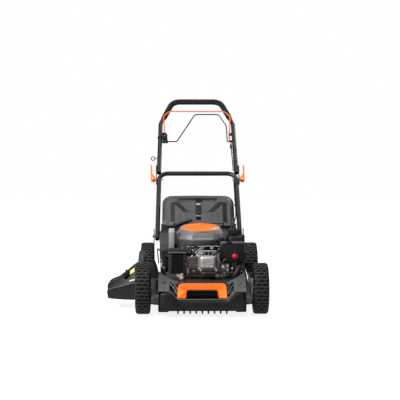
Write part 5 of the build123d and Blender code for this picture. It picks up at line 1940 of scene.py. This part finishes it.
def handle_trim():
    """Pieces on the upper frame: bolt seats, cable ties, and the ferrule and spring of the brake cable."""
    solid = Solid("upper_handle_trim")
    for sign in (-1, 1):
        side = HANDLE_SIDE(sign)
        solid.lathe(
            [(4.4, 205.3), (8.4, 205.3), (8.4, 207.4), (7.6, 208), (4.4, 208)], side, (437, 0),
            orange_plastic, segments=28, loop=True,
        )
        for v in (502, 521):
            solid.bolt((v, 0), side, 205.2, zinc, radius=4.4, height=2.4)
        solid.lathe(
            [(9.2, 482), (11.6, 482.4), (12, 484), (12, 489), (11.2, 490.6), (9.2, 490.6)],
            HANDLE_UP(sign * 191, 0), (0, 0), black_rubber, segments=32, loop=True,
        )
    for v, x in ((640, 189.6), (560, 191)):
        band = []
        for k in range(28):
            c, s = cos(2 * pi * k / 28), sin(2 * pi * k / 28)
            band.append(HANDLE(x - 2 + (14.6 if c < 0 else 12.4) * c, v, 12 * s))
        solid.tube(band, 1.2, black_plastic, sides=6, steps=1, closed=True)
    # From the bail's pull: wire, spring and ferrule, then the cable.
    ferrule = HANDLE_UP(171.4, 0)
    solid.lathe(
        [(1.6, 660), (4.6, 660), (5.2, 662), (5.2, 682), (4.4, 684), (4.4, 690), (1.6, 690)], ferrule, (0, 0),
        black_plastic, segments=20, loop=True,
    )
    solid.lathe(
        [(1.4, 690), (3.4, 690), (3.4, 700), (1.4, 700)], ferrule, (0, 0), zinc, segments=16, loop=True,
    )
    points = []
    for k in range(73):
        a = 2 * pi * k / 8
        points.append(HANDLE(170.6 + 3.1 * cos(a), 700 + 0.3 * k, 3.1 * sin(a) - 0.1 * k))
    solid.tube(points, 0.9, zinc, sides=6, steps=1)
    return solid.done("upper_handle_frame", smooth=40)


def HANDLE_UP(u0, n0):
    """A view along the handle's leg from a point: u across, v out of its plane, w up the handle."""

    def view(u, v, w):
        return HANDLE(u0 + u, w, n0 + v)

    return view


handle_trim()


def rope_guide():
    """The pigtail guide for the starter rope: a rod with an eye and an open tail."""
    solid = Solid("rope_guide_look")
    v = 586
    hub = HANDLE(-222, v, 0)
    eye = [HANDLE(-200.9, v, 0), HANDLE(-207, v, 0), HANDLE(-211.5, v, 0)]
    for k in range(25):
        a = radians(20 + 15.5 * k)
        eye.append((hub[0] + 9 * cos(a), hub[1] + 3 * k / 24 - 1.5, hub[2] + 9 * sin(a)))
    solid.tube(eye, 2.5, dull_zinc, sides=12, steps=2)
    solid.bolt((586, 0), HANDLE_SIDE(-1), 200.6, zinc, radius=4.4, height=3)
    return solid.done("upper_handle_frame", replaces=["rope_guide"], smooth=50)


rope_guide()


def lower_trim():
    """Pieces on the lower frame: the cable's ties."""
    solid = Solid("lower_handle_trim")
    for v in (300, 400):
        band = []
        for a in range(28):
            c, s = cos(2 * pi * a / 28), sin(2 * pi * a / 28)
            band.append(HANDLE(190.2 - 2 + (13.4 if c < 0 else 11.8) * c, v, 12 * s))
        solid.tube(band, 1.2, black_plastic, sides=6, steps=1, closed=True)
    return solid.done("lower_handle_frame", smooth=40)


lower_trim()


def bracket_trim():
    """Pieces of the deck round the handle brackets: bolt heads, the pivot pin and the cable clip."""
    solid = Solid("bracket_trim")
    for sign in (-1, 1):
        side = across(sign)
        solid.bolt((375.6, 281.3), side, 211.2, zinc, radius=6.5, height=4, washer=False)
        # Gusset that carries the end of the chute's hinge rod.
        if sign < 0:
            gusset = rounded(
                [(-230, 126), (-222, 178), (-214, 192), (-198, 193), (-186, 160), (-178, 126)], 6,
            )
            solid.prism(gusset, FRONT, (-106, -101), deck_paint, bevel=1)
            solid.prism(gusset, FRONT, (101, 106), deck_paint, bevel=1)
        # Outer stay of the bracket, a narrow plate that tapers towards the deck.
        stay = rounded(
            [(364, 314), (388, 318), (394, 286), (384, 244), (377, 222), (370, 226), (366, 270)], 5,
        )
        solid.prism(stay, side, (205.4, 209), deck_paint, bevel=0.8)
        for y, z in ((300, 262), (340, 262)):
            solid.bolt((y, z), side, 180, zinc, radius=4.6, height=3)
        # Retaining pin with its ring, outside the bracket.
        solid.tube(
            [
                (sign * 213, 382, 284), (sign * 216, 380, 281), (sign * 216, 372, 279),
                (sign * 213, 368, 281), (sign * 213, 371, 288), (sign * 213, 380, 288),
            ],
            1.4, zinc, sides=8, closed=True,
        )
    clip = HANDLE(178, 257, 7)
    solid.box((173, 187), (clip[1] - 6, clip[1] + 6), (clip[2] - 6, clip[2] + 6), black_plastic, bevel=2)
    return solid.done("deck", smooth=40)


def across(sign):
    """A side view that looks in from one side: u along the mower, v up, w outwards."""

    def view(u, v, w):
        return (sign * w, u, v)

    return view


bracket_trim()


def height_rods():
    """The bent rods of the height link beside the right front wheel."""
    solid = Solid("front_rods")
    solid.tube(
        [(180, -262, 168), (184, -272, 148), (188, -284, 122), (188.5, -286, 110)], 3.0, zinc, sides=12,
    )
    solid.bolt((-262, 168), across(1), 176, zinc, radius=5, height=3)
    return solid.done("deck", smooth=40)


height_rods()

upper_points = ((170, 706), (172, 668), (173, 625), (175, 580), (176, 536), (176.5, 497))
cable("brake_cable_upper", [HANDLE(u, v, 0) for u, v in upper_points], "upper_handle_frame", "upper_cable")
lower_points = ((177, 425), (176, 380), (177, 330), (177, 280), (177.5, 262))
cable("brake_cable_lower", [HANDLE(u, v, 7) for u, v in lower_points], "lower_handle_frame", "lower_cable")
deck_points = (
    HANDLE(178, 257, 7), (177, 470, 397), (176, 436, 374), (172, 405, 356), (162, 380, 342), (152, 352, 330),
    (145, 322, 318), (140, 290, 302), (138, 260, 283), (137, 232, 258), (136, 212, 224), (135, 196, 186),
    (134, 180, 152), (133, 172, 129),
)
cable("brake_cable_deck", deck_points, "deck", "deck_cable")


# ---- Finishes of the carried-over parts ---------------------------------------------------

for name, material in {
    "front_axle": dull_zinc,
    "rear_axle": dull_zinc,
    "link_rod": dull_zinc,
    "deck_shell": deck_paint,
    "handle_brackets": deck_paint,
    "handle_bolts": zinc,
    "crankshaft": steel,
    "blade_adapter": orange_reflection_alloy,
    "blade": grass_steel,
    "blade_bolt": zinc,
    "drive_belt": belt_rubber,
    "gearbox_pulley": steel,
    "gearbox": alloy,
    "flywheel": alloy,
    "recoil_pulley": black_plastic,
    "lower_handle": black_steel,
    "upper_handle": black_steel,
    "cam_bolts": zinc,
    "brake_bail": orange_wire,
    "drive_bail": black_steel,
}.items():
    finish_node(name, material)


# ---- Floor, light and camera --------------------------------------------------------------


def flat_colour(name, colour, rough, glow):
    """A plain finish for the studio floor, which is lit from below like a photo table."""
    made = bpy.data.materials.new(name)
    made.use_nodes = True
    tree = made.node_tree
    shader = tree.nodes["Principled BSDF"]
    shader.inputs["Base Color"].default_value = (*colour, 1)
    shader.inputs["Roughness"].default_value = rough
    shader.inputs["Emission Color"].default_value = (1.0, 1.0, 1.0, 1)
    shader.inputs["Emission Strength"].default_value = glow
    return made


floor_mesh = bpy.data.meshes.new("floor")
wide = 60.0
floor_mesh.from_pydata(
    [(-wide, -wide, -0.0005), (wide, -wide, -0.0005), (wide, wide, -0.0005), (-wide, wide, -0.0005)], [],
    [(0, 1, 2, 3)],
)
floor = bpy.data.objects.new("floor", floor_mesh)
floor_mesh.materials.append(flat_colour("studio_floor", (0.25, 0.25, 0.25), 0.85, 0.86))
bpy.context.scene.collection.objects.link(floor)

# A white room that lights the mower less than it shows behind it, as a lit backdrop does.
world = bpy.data.worlds.new("studio")
bpy.context.scene.world = world
world.use_nodes = True
room = world.node_tree
glow = room.nodes["Background"]
glow.inputs["Color"].default_value = (1.0, 1.0, 1.0, 1)
seen = room.nodes.new("ShaderNodeLightPath")
strength = room.nodes.new("ShaderNodeMapRange")
strength.inputs["To Min"].default_value = 0.2
strength.inputs["To Max"].default_value = 1.0
room.links.new(seen.outputs["Is Camera Ray"], strength.inputs["Value"])
room.links.new(strength.outputs["Result"], glow.inputs["Strength"])


def area_light(name, place, target, size, power):
    """A soft rectangular light that points at a place on the mower."""
    light = bpy.data.lights.new(name, "AREA")
    light.shape = "RECTANGLE"
    light.size, light.size_y = size
    light.energy = power
    made = bpy.data.objects.new(name, light)
    made.location = at(*place)
    aim = at(*target) - made.location
    made.rotation_euler = aim.to_track_quat("-Z", "Y").to_euler()
    bpy.context.scene.collection.objects.link(made)
    return made


area_light("key", (-1900, -1500, 2500), (0, 0, 300), (1.3, 1.3), 190)
area_light("rim", (1500, 2300, 2300), (0, 0, 300), (1.5, 1.5), 40)

sky = bpy.data.lights.new("overhead", "SUN")
sky.energy = 1.5
sky.angle = radians(60)
overhead = bpy.data.objects.new("overhead", sky)
overhead.rotation_euler = (radians(12), radians(-8), 0)
bpy.context.scene.collection.objects.link(overhead)

# The camera stands low in front, a little to the left of the mower's middle.
CAMERA_PLACE = (-87, -4367, 500)
CAMERA_LENS, CAMERA_SENSOR = 91.8, 36
CAMERA_DOWN, CAMERA_RIGHT = radians(0.618), radians(1.123)
camera_data = bpy.data.cameras.new("camera")
camera_data.lens = CAMERA_LENS
camera_data.sensor_width = CAMERA_SENSOR
camera = bpy.data.objects.new("camera", camera_data)
camera.location = at(*CAMERA_PLACE)
camera.rotation_euler = (pi / 2 - CAMERA_DOWN, 0, -CAMERA_RIGHT)
bpy.context.scene.collection.objects.link(camera)
bpy.context.scene.camera = camera
bpy.context.scene.view_settings.view_transform = "Standard"
